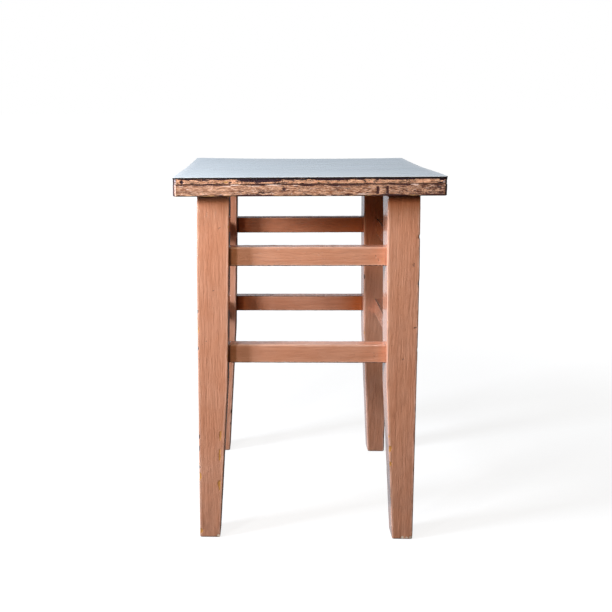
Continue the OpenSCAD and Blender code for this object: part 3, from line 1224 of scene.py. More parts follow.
@dataclass(kw_only=True)
class Rail(Timber):
    """A rail between two legs, full size a little past its shoulders and then a tenon at each end.

    The fields from left_end_shade on are its dark joints, dark lines and painted shade, where 1 or more is
    full, and how far each kind reaches in millimetres.
    """

    axis: Axis
    side: Side
    bottom: float
    arris_r: float = 0.9
    arris_reach: float = 2.4
    row_step: float = 1.6
    past_shoulder: float = 0.9
    left_end_shade: float = 1.3
    right_end_dark: float = 0.5
    joint_reach: float = 2.0
    underline: float = 0.85
    underline_reach: float = 1.2
    top_shade: float = 0.0
    top_band: float = 0.7
    top_line: float = 0.7
    top_line_reach: float = 1.6
    top_line_band: float = 0.8
    painted_shade_reach: float = 80.0
    end_painted_shade: float = 0.0
    end_reach: float = 85.0

    def section(self) -> tuple[float, float, float, float]:
        """Centre and half size of the rail's section, in the two directions that follow its axis.

        Returns:
            The two centres, then the two half sizes.
        """
        middle = self.bottom + self.sizes.rail_h / 2
        place = self.sizes.leg_place()
        out = float(self.sizes.outer(np.array(middle)))
        half_t = self.sizes.rail_t / 2
        half_h = self.sizes.rail_h / 2
        front = self.axis is Axis.X and self.side is Side.LOW
        set_back = self.sizes.front_rail_set if front else self.sizes.side_rail_set
        if self.axis is Axis.X:
            return self.side.value * (place[1] + out - set_back - half_t), middle, half_t, half_h
        return middle, self.side.value * (place[0] + out - set_back - half_t), half_h, half_t

    def skin(self) -> tuple[Skin, Array]:
        """Carries a rounded rectangle along the rail, with a step in to the tenon at each end.

        Returns:
            The surface and its grain coordinates.
        """
        centre_a, centre_b, half_a, half_b = self.section()
        middle = np.array(self.bottom + self.sizes.rail_h / 2)
        place = self.sizes.leg_place()[0 if self.axis is Axis.X else 1]
        shoulder = place + float(self.sizes.inner(middle)) + self.past_shoulder
        tip = shoulder + self.sizes.tenon_l
        count = int(2 * shoulder / self.row_step)
        shaft = np.linspace(-shoulder, shoulder, count)
        along = np.concatenate([[-tip, -shoulder], shaft, [shoulder, tip]])
        full = np.concatenate([[False, False], np.ones(count, bool), [False, False]])
        thin = self.sizes.tenon_t / 2
        tall = self.sizes.rail_h / 2 - self.sizes.tenon_shoulder
        tenon_a, tenon_b = (thin, tall) if self.axis is Axis.X else (tall, thin)
        halves = (np.where(full, half_a, tenon_a), np.where(full, half_b, tenon_b))
        ring = RoundedRing(per_side=12, per_corner=5)
        centres = (np.full(len(along), centre_a), np.full(len(along), centre_b))
        a, b = ring.carry(centres, halves, np.full(len(along), self.arris_r))
        skin = Skin(self.axis.place(a, b, along[:, None]))
        grain = np.stack(np.broadcast_arrays(a, b, along[:, None] + GRAIN_APART * self.seed), axis=-1)
        skin.raise_value(ARRIS, closeness(ring.edge_distance(halves), self.arris_reach))
        from_end = (shoulder - self.past_shoulder - np.abs(along))[:, None] + np.zeros_like(a)
        # Dark joints at both ends, with painted shade added at the left end, where the left leg shades the
        # rail.
        joint = np.where(along < 0, self.left_end_shade, self.right_end_dark)[:, None]
        skin.raise_value(DIRT_AND_SHADE, joint * closeness(from_end.clip(0), self.joint_reach))
        self.soil_and_shade(skin, full)
        body = full[:, None] & (from_end > -2)
        relief = Relief(self.seed, across=12, along=24).at(*ring_place(skin.points))
        skin.push(np.where(body, self.ripple * relief, 0.0))
        skin.mark(self.marks)
        return skin, grain

    def soil_and_shade(self, skin: Skin, full: Array) -> None:
        """Paints shade on the rail's lower edge and its top, and sets its painted shade as a deeper colour.

        The lower edge has a dark line of painted shade, the top an even painted shade and a dark line along
        its inner arris. The deeper painted shade is the more of painted_shade * (0.6 + 0.4 * X /
        painted_shade_reach) and end_painted_shade * (X / end_reach)^2.

        Args:
            skin: The rail's surface.
            full: True for the rows between the shoulders.
        """
        x = skin.points[..., 0]
        height = skin.points[..., 2] - self.bottom
        inner = np.abs(skin.points[..., 1 if self.axis is Axis.X else 0])
        inner = inner - inner[full].min()
        line = self.top_line * closeness(inner, self.top_line_reach)
        # Painted shade: a dark line under the rail, and an even dark top.
        skin.raise_value(DARK, self.underline * closeness(height, self.underline_reach))
        skin.raise_value(DARK, self.top_shade * (height > self.sizes.rail_h - self.top_band))
        skin.raise_value(DARK, line * (height > self.sizes.rail_h - self.top_line_band))
        # Painted shade as a deeper, darker colour, stronger to the right and at the ends.
        skin.raise_value(PAINTED_SHADE, self.painted_shade * (0.6 + 0.4 * (x / self.painted_shade_reach).clip(0, 1)))
        skin.raise_value(PAINTED_SHADE, self.end_painted_shade * (x / self.end_reach) ** 2)


@dataclass(frozen=True)
class SeatSizes:
    """Sizes of the seat's layers, as the CAD source has them, and how far the middle has sunk."""

    width: float = 304.0
    depth: float = 302.0
    corner_r: float = 4.0
    base_z: float = 428.5
    base_t: float = 13.4
    top_t: float = 6.5
    laminate_t: float = 1.6
    sag: float = 1.5
    back_drop: float = 1.5
    right_drop: float = 1.0

    def sunk(self, points: Array) -> Array:
        """How far the seat has sunk at each point, with X and Y from -1 to 1 at the edges.

        A hollow of sag * (1 - X^2 Y^2) * w, where w rises smoothly from 0 at the front edge to 1 at the
        middle, and a settling of (back_drop + right_drop * X) * (Y + 1) / 2 towards the back right.

        Args:
            points: Points with XYZ last.

        Returns:
            The drop in millimetres.
        """
        x = points[..., 0] / (self.width / 2)
        y = points[..., 1] / (self.depth / 2)
        rise = np.clip(y + 1, 0, 1)
        hollow = self.sag * (1 - x**2 * y**2).clip(0) * rise**2 * (3 - 2 * rise)
        return hollow + (self.back_drop + self.right_drop * x) * ((y + 1) / 2).clip(0)


@dataclass
class Board:
    """A flat board with a rounded-rectangle outline: its edge profile is carried round the outline."""

    sizes: SeatSizes
    low: float
    high: float
    low_r: float
    high_r: float
    edge_step: float = 0.8
    per_side: int = 220
    per_corner: int = 14
    least_corner_r: float = 0.4
    arris_reach: float = 1.8

    def profile(self) -> tuple[Array, Array, Array]:
        """The edge profile from the underside's middle, out and up, and back to the top's middle.

        Returns:
            Inset from the outline, height, and 1 where a ring lies on the edge and 0 where it is on a face.
        """
        turn = np.linspace(0, pi / 2, 5)
        far = np.array([150.0, 128.0, 104.0, 80.0, 58.0, 40.0, 26.0, 16.0, 9.0, 5.0, 2.6, 1.2])
        side = np.arange(self.low + self.low_r, self.high - self.high_r, self.edge_step)[1:]
        inset = np.concatenate([
            far, self.low_r * (1 - np.sin(turn)), np.zeros(len(side)), self.high_r * (1 - np.cos(turn)),
            far[::-1]])
        level = np.concatenate([
            np.full(len(far), self.low), self.low + self.low_r * (1 - np.cos(turn)), side,
            self.high - self.high_r * (1 - np.sin(turn)), np.full(len(far), self.high)])
        edge = np.concatenate([np.zeros(len(far)), np.ones(len(inset) - 2 * len(far)), np.zeros(len(far))])
        return inset, level, edge

    def skin(self) -> tuple[Skin, Array, Array]:
        """The board's surface.

        Returns:
            The surface, its grain coordinates and a column with 1 for each row on the edge and 0 for the
            others. The grain runs round the outline on the edge, and along X on the faces.
        """
        inset, level, edge = self.profile()
        ring = RoundedRing(self.per_side, self.per_corner)
        half = (self.sizes.width / 2 - inset, self.sizes.depth / 2 - inset)
        zero = np.zeros(len(inset))
        a, b = ring.carry((zero, zero), half, np.maximum(self.sizes.corner_r - inset, self.least_corner_r))
        skin = Skin(Axis.Z.place(a, b, level[:, None]))
        outer = len(inset) // 2
        steps = np.linalg.norm(np.roll(skin.points[outer], -1, axis=0) - skin.points[outer], axis=1)
        run = np.concatenate([[0.0], np.cumsum(steps)[:-1]])[None, :] + np.zeros_like(a)
        rise = level[:, None] + np.zeros_like(a)
        on_edge = edge[:, None]
        round_edge = np.stack([np.zeros_like(a), rise, run], axis=-1)
        on_face = np.stack([b, rise, a], axis=-1)
        grain = np.where(on_edge[..., None] > 0.5, round_edge, on_face)
        corner = np.where(on_edge > 0.5, ring.edge_distance(half), np.inf)
        to_low = np.abs(level - self.low)[:, None] + inset[:, None]
        to_high = np.abs(level - self.high)[:, None] + inset[:, None]
        near = np.minimum(corner, np.minimum(to_low, to_high))
        skin.raise_value(ARRIS, closeness(near, self.arris_reach))
        return skin, grain, on_edge


@dataclass
class Seat:
    """The seat: a laminate sheet on an upper board of ply on a painted lower board."""

    sizes: SeatSizes = field(default_factory=SeatSizes)
    front: float = -151.0
    base_wear: float = 0.3
    ply_wear: float = 0.8
    right_darkening: float = 0.45
    right_darkening_from: float = 30.0
    right_darkening_over: float = 110.0
    laminate_face: float = 0.3
    laminate_highlight_reach: float = 10.0

    def roughen(self, skin: Skin, edge: Array, depth: float, relief: Relief) -> None:
        """Wears the edge inwards only, by depth * (0.5 + field / 2), so that the seat keeps its outline.

        Args:
            skin: The board's surface.
            edge: 1 for the rows on the edge.
            depth: Deepest wear in millimetres.
            relief: The field.
        """
        worn = depth * np.clip(0.5 + relief.at(*ring_place(skin.points)) / 2, 0, 1)
        skin.push(-worn * edge)

    def sink(self, skin: Skin) -> None:
        """Lowers every point by the seat's sag."""
        skin.points[..., 2] -= self.sizes.sunk(skin.points)

    def base_marks(self) -> tuple[Mark, ...]:
        """Marks on the lower board's front edge.

        Returns:
            Two dark upright slots, a nick and pale specks.
        """
        return (
            Mark((75.6, self.front, 435.2), (1.8, 2.5, 4.5), 0.3, Tone.DARK, 1.0, 8),
            Mark((86.1, self.front, 435.4), (1.8, 2.5, 4.7), 0.3, Tone.DARK, 1.0, 8),
            Mark((-28.0, self.front, 436.6), (2.4, 2.5, 2.0), 0.6, Tone.DARK),
            Mark((-82.0, self.front, 441.4), (6.5, 2.0, 0.8), 0.0, Tone.PALE, 0.9),
            Mark((-40.0, self.front, 441.2), (11.0, 2.0, 0.6), 0.0, Tone.PALE, 0.7),
            Mark((115.5, self.front, 441.5), (4.5, 2.0, 0.9), 0.0, Tone.PALE, 1.0),
            Mark((21.9, self.front, 429.4), (3.4, 2.0, 1.0), 0.0, Tone.PALE, 0.9),
            Mark((58.0, self.front, 430.6), (6.5, 2.0, 0.9), 0.0, Tone.PALE, 0.8),
        ) + self.corner_shade_and_highlight()

    def ply_marks(self) -> tuple[Mark, ...]:
        """Marks on the upper board's front edge.

        Returns:
            A long dark stain, ochre specks, nicks and a pale dot.
        """
        return (
            Mark((-53.0, self.front, 446.0), (27.0, 3.0, 1.9), 0.6, Tone.DARK),
            Mark((22.0, self.front, 446.9), (20.0, 3.0, 1.3), 0.4, Tone.DARK, 0.8),
            Mark((94.0, self.front, 447.3), (20.0, 3.0, 1.2), 0.4, Tone.DARK, 0.8),
            Mark((-141.5, self.front, 444.6), (1.8, 3.0, 2.8), 0.6, Tone.DARK),
            Mark((-118.0, self.front, 446.3), (9.0, 3.0, 0.9), 0.3, Tone.DARK, 0.7),
            Mark((-99.0, self.front, 447.3), (2.4, 2.0, 1.0), 0.0, Tone.BARE),
            Mark((-92.0, self.front, 444.6), (3.0, 2.0, 0.8), 0.0, Tone.BARE, 0.8),
            Mark((147.6, self.front, 444.2), (1.2, 2.5, 1.0), 0.0, Tone.PALE),
            Mark((145.5, self.front, 446.6), (3.4, 3.0, 1.3), 0.5, Tone.DARK, 0.9),
            Mark((143.5, self.front, 442.9), (3.0, 3.0, 0.9), 0.4, Tone.DARK, 0.9),
        ) + self.corner_shade_and_highlight()

    def corner_shade_and_highlight(self) -> tuple[Mark, ...]:
        """Painted shade and a painted highlight on the rounded front corners.

        Returns:
            Painted shade at both ends, and a painted highlight beside the left one.
        """
        return (
            # Painted shade on both front corners, and a painted highlight on the left one.
            Mark((-151.6, self.front + 2.5, 439.0), (1.9, 4.0, 16.0), 0.0, Tone.DARK, 1.0, 8),
            Mark((-148.9, self.front + 0.5, 439.0), (0.7, 2.0, 16.0), 0.0, Tone.PALE, 0.9, 8),
            Mark((151.6, self.front + 2.5, 439.0), (2.6, 4.0, 16.0), 0.0, Tone.DARK, 1.0, 8),
        )

    @staticmethod
    def broken_line(
        skin: Skin, edge: Array, level: float, to_glints: float, glints: float, seed: int
    ) -> None:
        """Draws a wavering dark line of uneven width along a board's edge, with pale glints beside it.

        The darkness is 1.35 - |z - centre| / reach. One field along the edge moves the centre by up to
        0.8 mm, and another makes the reach 0.85 mm more or less 0.9 mm. The glints are bands of 0.6 mm,
        cut to patches by a third field.

        Args:
            skin: The board's surface.
            edge: 1 for the rows on the edge.
            level: Height of the line.
            to_glints: From the line up to the glints, or down where it is negative.
            glints: Strength of the glints.
            seed: Seed of the fields.
        """
        u, _ = ring_place(skin.points)
        half = np.full_like(u, 0.5)
        rise = skin.points[..., 2] - level - 0.8 * Relief(seed, 90, 1).at(u, half)
        reach = 0.85 + 0.9 * Relief(seed + 1, 90, 1, 4).at(u, half)
        line = 1.35 - np.abs(rise) / reach.clip(0.1)
        skin.raise_value(DARK, line.clip(0, 1) * edge)
        patch = 2.5 * Relief(seed + 2, 150, 1).at(u, half) - 0.6
        glint = 1.2 - np.abs(rise - to_glints) / 0.6
        skin.raise_value(PALE, glints * np.minimum(glint, patch).clip(0, 1) * edge)

    def base_board(self, finish: bpy.types.Material) -> None:
        """Makes and dresses the lower board.

        Its edge is soiled at both arrises, darker towards the right, and rubbed on its lowest 3 mm.

        Args:
            finish: Its finish.
        """
        low = self.sizes.base_z
        high = low + self.sizes.base_t
        skin, grain, edge = Board(self.sizes, low, high, low_r=1.1, high_r=0.7).skin()
        self.roughen(skin, edge, self.base_wear, Relief(seed=11, across=120, along=12))
        height = skin.points[..., 2]
        right = (skin.points[..., 0] - self.right_darkening_from) / self.right_darkening_over
        skin.raise_value(DIRT_AND_SHADE, 0.7 * fading(high - height, 1.5) * edge)
        skin.raise_value(DIRT_AND_SHADE, 0.5 * fading(height - low, 0.6) * edge)
        # Darker towards the right.
        skin.raise_value(DIRT_AND_SHADE, self.right_darkening * right.clip(0, 1) * edge)
        skin.values[ARRIS] *= height < low + 3
        self.broken_line(skin, edge, level=high - 0.3, to_glints=-1.5, glints=0.9, seed=41)
        self.broken_line(skin, edge, level=low + 0.9, to_glints=1.6, glints=0.6, seed=51)
        skin.mark(self.base_marks())
        self.sink(skin)
        dress(skin.piece("seat_base_board.wood", grain), finish, "seat_base_board")

    def top_board(self, finish: bpy.types.Material) -> None:
        """Makes and dresses the upper board. Its edge is soiled at the seam below and under the lip above.

        Args:
            finish: Its finish.
        """
        low = self.sizes.base_z + self.sizes.base_t
        high = low + self.sizes.top_t
        board = Board(self.sizes, low, high, low_r=0.7, high_r=0.2, edge_step=0.45, per_side=250)
        skin, grain, edge = board.skin()
        self.roughen(skin, edge, self.ply_wear, Relief(seed=23, across=150, along=10))
        height = skin.points[..., 2]
        skin.raise_value(DIRT_AND_SHADE, 0.6 * fading(height - low, 1.2) * edge)
        skin.raise_value(DIRT_AND_SHADE, 0.8 * fading(high - height, 1.0) * edge)
        self.broken_line(skin, edge, level=low - 0.3, to_glints=-1.5, glints=0.9, seed=41)
        self.broken_line(skin, edge, level=high - 0.5, to_glints=-1.9, glints=0.0, seed=61)
        skin.mark(self.ply_marks())
        self.sink(skin)
        dress(skin.piece("seat_top_board.wood", grain), finish, "seat_top_board")

    def laminate(self, finish: bpy.types.Material) -> None:
        """Makes and dresses the laminate sheet, whose edge shows its core below a thin face.

        Args:
            finish: Its finish.
        """
        high = self.sizes.base_z + self.sizes.base_t + self.sizes.top_t + self.sizes.laminate_t
        low = high - self.sizes.laminate_t
        skin, grain, _ = Board(self.sizes, low, high, low_r=0.1, high_r=0.35, edge_step=0.25).skin()
        x, y, z = np.moveaxis(skin.points, -1, 0)
        skin.raise_value(DARK, (high - self.laminate_face - z > 0).astype(float))
        past_edge = np.maximum(np.abs(x) - self.sizes.width / 2, np.abs(y) - self.sizes.depth / 2)
        # Painted highlight: the arris value reaches laminate_highlight_reach in from the edge, for a pale
        # border.
        skin.raise_value(ARRIS, closeness(past_edge, self.laminate_highlight_reach))
        self.sink(skin)
        dress(skin.piece("seat_laminate.sheet", grain), finish, "seat_laminate")


def dress(piece: bpy.types.Object, material: bpy.types.Material, node: str) -> None:
    """Gives a piece its finish and ties it to the frame in place of a CAD node.

    Args:
        piece: The piece.
        material: Its finish.
        node: The CAD node that it stands for.
    """
    piece.data.materials.append(material)
    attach(piece, "root")
    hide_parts(node)
    log.info("%s: %d faces for %s", piece.name, len(piece.data.polygons), node)


@dataclass(frozen=True)
class Lamp:
    """A flat, oblong lamp that faces the stool's middle.

    Its place is turn_left degrees from straight in front, rise degrees up and distance metres away. Its size
    is in metres and its power in watts.
    """

    name: str
    turn_left: float
    rise: float
    distance: float
    size: tuple[float, float]
    power: float
    color: Triple

    def build(self, aim: Vector) -> None:
        """Makes the lamp.

        Args:
            aim: The stool's middle.
        """
        left = radians(self.turn_left)
        up = radians(self.rise)
        at = aim + self.distance * Vector((-sin(left) * cos(up), -cos(left) * cos(up), sin(up)))
        data = bpy.data.lights.new(self.name, "AREA")
        data.energy = self.power
        data.shape = "RECTANGLE"
        data.size, data.size_y = self.size
        data.color = self.color
        turn = (at - aim).to_track_quat("Z", "Y").to_matrix().to_4x4()
        place_in_scene(self.name, data).matrix_world = Matrix.Translation(at) @ turn


# A cool soft key on the left, a second lamp between it and the front, a warm fill, and two small cool ones.
LAMPS = (
    Lamp("Key", 69.4, 22.0, 2.4, (0.42, 0.55), 75.0, (0.95, 1.02, 1.13)),
    Lamp("Second", 41.6, 24.8, 1.16, (0.07, 0.11), 2.9, (1.0, 1.0, 1.0)),
    Lamp("Fill", 11.0, 27.5, 0.8, (0.38, 0.18), 1.4, (1.05, 0.76, 0.45)),
    Lamp("Low", 62.8, 7.0, 0.92, (0.06, 0.06), 1.1, (1.0, 1.04, 1.14)),
    Lamp("High", 40.3, 48.8, 0.7, (0.07, 0.05), 0.58, (1.0, 1.04, 1.14)),
)


@dataclass
class Studio:
    """The camera, the lamps, the world and the floor.

    The picture's size, the focal length and the principal point are in pixels, the eye and the sensor in
    millimetres and the three turns in radians. The other lengths are in metres.
    """

    image: float = 612.0
    focal: float = 765.172
    principal: tuple[float, float] = (245.0, 250.0)
    eye: Triple = (-43.374, -995.371, 534.429)
    yaw: float = 0.033504
    pitch: float = 0.194384
    roll: float = -0.0085
    sensor: float = 36.0
    floor_half: float = 30.0
    floor_drop: float = 0.0003
    aim_height: float = 0.25
    white: Triple = (1.0, 1.0, 1.0)
    ambient: float = 0.006
    ambient_color: Triple = (1.0, 0.7, 0.42)
    rim: float = 0.95
    rim_from: float = 0.35
    gloss_color: Triple = (0.94, 1.0, 1.08)
    gloss_front: float = 0.08
    gloss_left: float = 0.72
    gloss_right: float = 0.04
    gloss_above: float = 0.84
    gloss_above_right: float = 0.72
    floor_glow: float = 0.86
    floor_bounce: Triple = (0.02, 0.02, 0.02)
    floor_tones: tuple[Triple, Triple] = ((0.2, 0.2, 0.2), (0.22, 0.22, 0.22))

    def camera(self) -> None:
        """Makes the camera from its turn angles, its focal length in pixels and its principal point."""
        right0 = Vector((cos(self.yaw), sin(self.yaw), 0.0))
        ahead = Vector((-sin(self.yaw) * cos(self.pitch), cos(self.yaw) * cos(self.pitch), -sin(self.pitch)))
        up0 = right0.cross(ahead)
        right = cos(self.roll) * right0 + sin(self.roll) * up0
        up = -sin(self.roll) * right0 + cos(self.roll) * up0
        turn = Matrix((right, up, -ahead)).transposed().to_4x4()
        data = bpy.data.cameras.new("Camera")
        data.sensor_width = self.sensor
        data.lens = self.focal * self.sensor / self.image
        data.shift_x = (self.image / 2 - self.principal[0]) / self.image
        data.shift_y = (self.principal[1] - self.image / 2) / self.image
        data.clip_start = 0.01
        data.clip_end = 200.0
        made = place_in_scene("Camera", data)
        made.matrix_world = Matrix.Translation(Vector(self.eye) * MM) @ turn
        bpy.context.scene.camera = made

    def world(self) -> None:
        """Makes the world: white where it is seen, bright in a gloss behind the stool, and else dim.

        The gloss is strong at the left, weak at the right and strong above, and it fades towards the front.
        The dim light is ambient, and rises to rim in the back right.
        """
        world = bpy.data.worlds.new("World")
        bpy.context.scene.world = world
        world.use_nodes = True
        world.node_tree.nodes.clear()
        sheet = NodeSheet(world.node_tree)
        path = sheet.node("LightPath", {}).outputs
        x, y, z = sheet.node("SeparateXYZ", {0: sheet.node("TexCoord", {}).outputs["Generated"]}).outputs
        behind = sheet.between(y, -0.35, 0.35, self.gloss_front, 1.0)
        level = sheet.between(x, -0.14, 0.04, self.gloss_left, self.gloss_right)
        overhead = sheet.between(x, -0.1, 0.25, self.gloss_above, self.gloss_above_right)
        above = sheet.times(sheet.between(z, 0.0, 0.16), overhead)
        behind = sheet.times(behind, sheet.math("MAXIMUM", level, above))
        gloss = sheet.math("MAXIMUM", path["Is Glossy Ray"], path["Is Transmission Ray"])
        strength = sheet.math("MAXIMUM", sheet.times(gloss, behind), path["Is Camera Ray"])
        plain = sheet.math("MAXIMUM", gloss, path["Is Camera Ray"])
        back_right = sheet.times(sheet.plus(x, y), 0.7071)
        soft = sheet.between(back_right, self.rim_from, 1.0, self.ambient, self.rim)
        strength = sheet.math("MAXIMUM", strength, sheet.times(soft, sheet.minus(1.0, plain)))
        tint = sheet.blend(sheet.between(back_right, self.rim_from, 0.5), self.ambient_color, self.white)
        tint = sheet.blend(plain, tint, self.white)
        tint = sheet.blend(gloss, tint, self.gloss_color)
        back = sheet.node("Background", {"Color": tint, "Strength": strength})
        sheet.node("OutputWorld", {"Surface": back.outputs[0]})

    def floor(self) -> None:
        """Makes a plain white floor that keeps the shadow and fades into the white. It is clear from below.

        It lies floor_drop under the soles, so that the two never share a plane.
        """
        corner = self.floor_half
        mesh = bpy.data.meshes.new("Floor")
        turns = ((-1, -1), (1, -1), (1, 1), (-1, 1))
        corners = [(x * corner, y * corner, -self.floor_drop) for x, y in turns]
        mesh.from_pydata(corners, [], [(0, 1, 2, 3)])
        made = place_in_scene("Floor", mesh)
        material, sheet = new_material("studio_floor")
        place = sheet.node("TexCoord", {}).outputs["Object"]
        away = sheet.node("VectorMath", {0: place}, operation="LENGTH").outputs["Value"]
        path = sheet.node("LightPath", {}).outputs
        glow = sheet.times(path["Is Camera Ray"], sheet.between(away, 0.35, 1.3, self.floor_glow, 1.0))
        tone = sheet.blend(sheet.noise(place, 40.0, 3.0, 0.5), *self.floor_tones)
        tone = sheet.blend(path["Is Camera Ray"], self.floor_bounce, tone)
        matt = sheet.node("BsdfDiffuse", {"Color": tone}).outputs[0]
        lit = sheet.node("Emission", {"Color": self.white, "Strength": glow}).outputs[0]
        both = sheet.node("AddShader", {0: matt, 1: lit}).outputs[0]
        clear = sheet.node("BsdfTransparent", {}).outputs[0]
        below = sheet.node("NewGeometry", {}).outputs["Backfacing"]
        hidden = sheet.math("MAXIMUM", path["Is Glossy Ray"], below)
        seen = sheet.node("MixShader", {0: hidden, 1: both, 2: clear}).outputs[0]
        sheet.node("OutputMaterial", {"Surface": seen})
        mesh.materials.append(material)

    def build(self) -> None:
        """Makes the camera, sets the view transform, and makes the lamps, the world and the floor."""
        self.camera()
        bpy.context.scene.view_settings.view_transform = "Standard"
        for lamp in LAMPS:
            lamp.build(Vector((0.0, 0.0, self.aim_height)))
        self.world()
        self.floor()
        log.info("studio ready")


def frame_marks() -> dict[str, tuple[Mark, ...]]:
    """Chips, nicks, stains and rubbed spots on the legs and rails.

    Returns:
        The marks, by node name.
    """
    return {
        "leg_front_left": (
            Mark((-102.1, -128.6, 389.0), (1.2, 2.0, 1.2), 0.25, Tone.DARK, 0.7),
            Mark((-109.1, -130.0, 315.8), (1.2, 2.0, 1.4), 0.25, Tone.DARK, 0.7),
            Mark((-119.6, -131.0, 253.8), (1.3, 2.0, 1.3), 0.25, Tone.DARK, 0.7),
            Mark((-129.0, -130.0, 290.5), (1.6, 3.0, 3.0), 0.6, Tone.DARK, 0.8),
            Mark((-129.0, -131.0, 267.3), (1.6, 3.0, 4.0), 0.6, Tone.BARE, 0.9),
            Mark((-129.5, -131.0, 245.1), (1.6, 3.0, 3.0), 0.5, Tone.DARK, 0.8),
            Mark((-104.0, -132.0, 135.0), (1.6, 3.0, 7.0), 0.4, Tone.BARE),
            Mark((-105.0, -132.0, 110.0), (1.6, 3.0, 9.0), 0.4, Tone.BARE),
            Mark((-106.0, -132.0, 71.0), (1.6, 3.0, 8.0), 0.4, Tone.BARE),
            Mark((-130.0, -132.0, 82.0), (1.8, 3.0, 6.0), 0.4, Tone.BARE),
            Mark((-129.5, -132.0, 9.0), (2.2, 3.0, 4.0), 0.5, Tone.BARE),
            Mark((-108.4, -133.0, 2.9), (2.6, 3.0, 2.0), 0.4, Tone.PALE, 0.8),
        ),
        "leg_front_right": (
            Mark((127.6, -129.0, 378.8), (2.0, 3.5, 2.6), 1.0, Tone.DARK),
            Mark((121.5, -129.4, 346.2), (2.2, 2.0, 3.4), 0.35, Tone.DARK, 0.5),
            Mark((126.0, -130.6, 271.0), (1.6, 2.5, 2.0), 0.4, Tone.DARK, 0.7),
            Mark((112.6, -131.2, 233.0), (1.6, 2.0, 1.6), 0.35, Tone.DARK, 0.6),
            Mark((129.8, -131.2, 244.1), (1.5, 3.0, 3.5), 0.4, Tone.DARK, 0.6),
            Mark((100.4, -132.2, 119.4), (1.8, 3.0, 4.5), 0.4, Tone.BARE),
            Mark((101.6, -132.2, 100.0), (1.5, 3.0, 3.5), 0.3, Tone.BARE, 0.8),
            Mark((118.4, -133.0, 2.8), (2.2, 3.0, 1.8), 0.4, Tone.PALE),
            Mark((123.6, -133.0, 2.6), (1.8, 3.0, 1.5), 0.4, Tone.PALE),
            Mark((129.4, -132.6, 3.0), (2.6, 3.0, 2.2), 0.5, Tone.PALE),
        ),
        "rail_front_upper": (
            Mark((80.0, -118.9, 352.2), (1.3, 2.0, 2.2), 0.4, Tone.RUBBED),
            Mark((84.0, -118.9, 349.0), (1.2, 2.0, 2.6), 0.4, Tone.RUBBED),
            Mark((79.0, -118.9, 354.0), (0.9, 2.0, 0.9), 0.3, Tone.DARK, 0.6),
            Mark((82.4, -118.9, 350.8), (0.8, 2.0, 2.2), 0.3, Tone.DARK, 0.5),
            Mark((87.0, -118.9, 350.0), (1.2, 2.0, 2.6), 0.2, Tone.BARE, 0.6),
        ),
        "rail_front_lower": (
            Mark((83.5, -120.0, 233.6), (1.0, 2.0, 2.2), 0.4, Tone.RUBBED),
            Mark((81.0, -120.0, 230.0), (1.2, 2.0, 1.6), 0.4, Tone.RUBBED),
            Mark((80.5, -120.0, 236.2), (0.8, 2.0, 0.9), 0.3, Tone.DARK, 0.6),
            Mark((80.0, -120.0, 232.6), (0.9, 2.0, 1.1), 0.3, Tone.DARK, 0.6),
            Mark((86.5, -120.0, 232.0), (1.0, 2.0, 3.0), 0.2, Tone.BARE, 0.5),
        ),
        "rail_back_upper": (
            Mark((83.0, 124.0, 351.0), (1.8, 16.0, 1.4), 0.2, Tone.BARE, 0.8),
            Mark((42.0, 124.0, 359.0), (5.0, 16.0, 2.0), 0.2, Tone.RUBBED, 0.8),
            Mark((56.0, 124.0, 357.0), (3.0, 16.0, 2.0), 0.2, Tone.RUBBED, 0.8),
        ),
        "rail_back_lower": (
            Mark((78.0, 124.0, 230.5), (2.6, 16.0, 1.6), 0.2, Tone.RUBBED),
            Mark((84.0, 124.0, 230.0), (1.8, 16.0, 2.0), 0.2, Tone.RUBBED),
        ),
    }


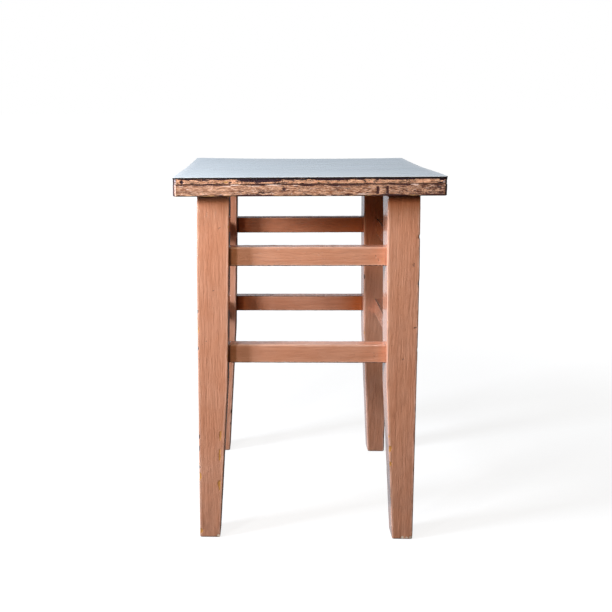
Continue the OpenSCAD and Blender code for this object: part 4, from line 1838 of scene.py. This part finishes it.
# What sets each piece of the frame apart: its arrises, its dirt, darkening and painted shade, and how much
# painted shade as a deeper colour its paint carries.
LOOKS: dict[str, dict[str, float]] = {
    "leg_front_left": {"arris_r": 1.1, "inner_shade": 0.2, "foot_dark": 0.42, "seat_shade": 0.3},
    "leg_front_right": {"arris_r": 1.3, "inner_shade": 0.85, "foot_dark": 0.42, "seat_shade": 0.8},
    "leg_back_left": {"arris_r": 1.6, "inner_shade": 0.2, "painted_shade": 0.4},
    "leg_back_right": {"arris_r": 1.8, "inner_shade": 0.2, "painted_shade": 1.0},
    "rail_back_upper": {"end_painted_shade": 1.0, "top_shade": 0.5, "painted_shade": 1.0},
    "rail_left_upper": {"painted_shade": 1.0},
    "rail_right_upper": {"painted_shade": 1.0},
    "rail_back_lower": {"end_painted_shade": 1.0, "top_shade": 0.42, "painted_shade": 0.45},
    "rail_left_lower": {"painted_shade": 0.2},
    "rail_right_lower": {"painted_shade": 0.2},
}


@dataclass
class LegFrame:
    """The four legs and the eight rails that tie them. The seeds count the pieces in building order."""

    sizes: FrameSizes = field(default_factory=FrameSizes)
    marks: dict[str, tuple[Mark, ...]] = field(default_factory=frame_marks)
    built: int = 0

    def shared(self, node: str) -> dict[str, object]:
        """What any piece is made with.

        Args:
            node: The piece's node name.

        Returns:
            The node, the sizes, the next seed, and the piece's own marks and looks.
        """
        self.built += 1
        given = {"node": node, "sizes": self.sizes, "seed": self.built, "marks": self.marks.get(node, ())}
        return {**given, **LOOKS.get(node, {})}

    def build(self, paint: bpy.types.Material) -> None:
        """Builds the legs, then the upper rails, then the lower ones.

        Args:
            paint: Their finish.
        """
        ends = {"front": Side.LOW, "back": Side.HIGH}
        sides = {"left": Side.LOW, "right": Side.HIGH}
        for end_name, end in ends.items():
            for side_name, side in sides.items():
                Leg(side=side, end=end, **self.shared(f"leg_{end_name}_{side_name}")).build(paint)
        levels = {"upper": self.sizes.upper_rail_z, "lower": self.sizes.lower_rail_z}
        for level_name, bottom in levels.items():
            for axis, places in {Axis.X: ends, Axis.Y: sides}.items():
                for name, side in places.items():
                    given = self.shared(f"rail_{name}_{level_name}")
                    Rail(axis=axis, side=side, bottom=bottom, **given).build(paint)


def dress_wedges(finish: bpy.types.Material) -> None:
    """Gives the CAD wedges their finish.

    Args:
        finish: Bare wood.
    """
    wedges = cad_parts["seat_wedges"]
    wedges.data.materials.clear()
    wedges.data.materials.append(finish)
    log.info("seat_wedges: kept from the CAD")


def main() -> None:
    """Builds the studio, the finishes, the seat and the frame."""
    logging.basicConfig(level=logging.INFO, format="%(message)s")
    Studio().build()
    effects = Effects()
    seat = Seat()
    seat.laminate(LaminateFinish().build(effects))
    seat.top_board(PlyEdgeFinish().build(effects))
    seat.base_board(BoardEdgeFinish().build(effects))
    LegFrame().build(PaintFinish().build(effects))
    dress_wedges(BareWoodFinish().build(effects))


if __name__ == "__main__":
    main()
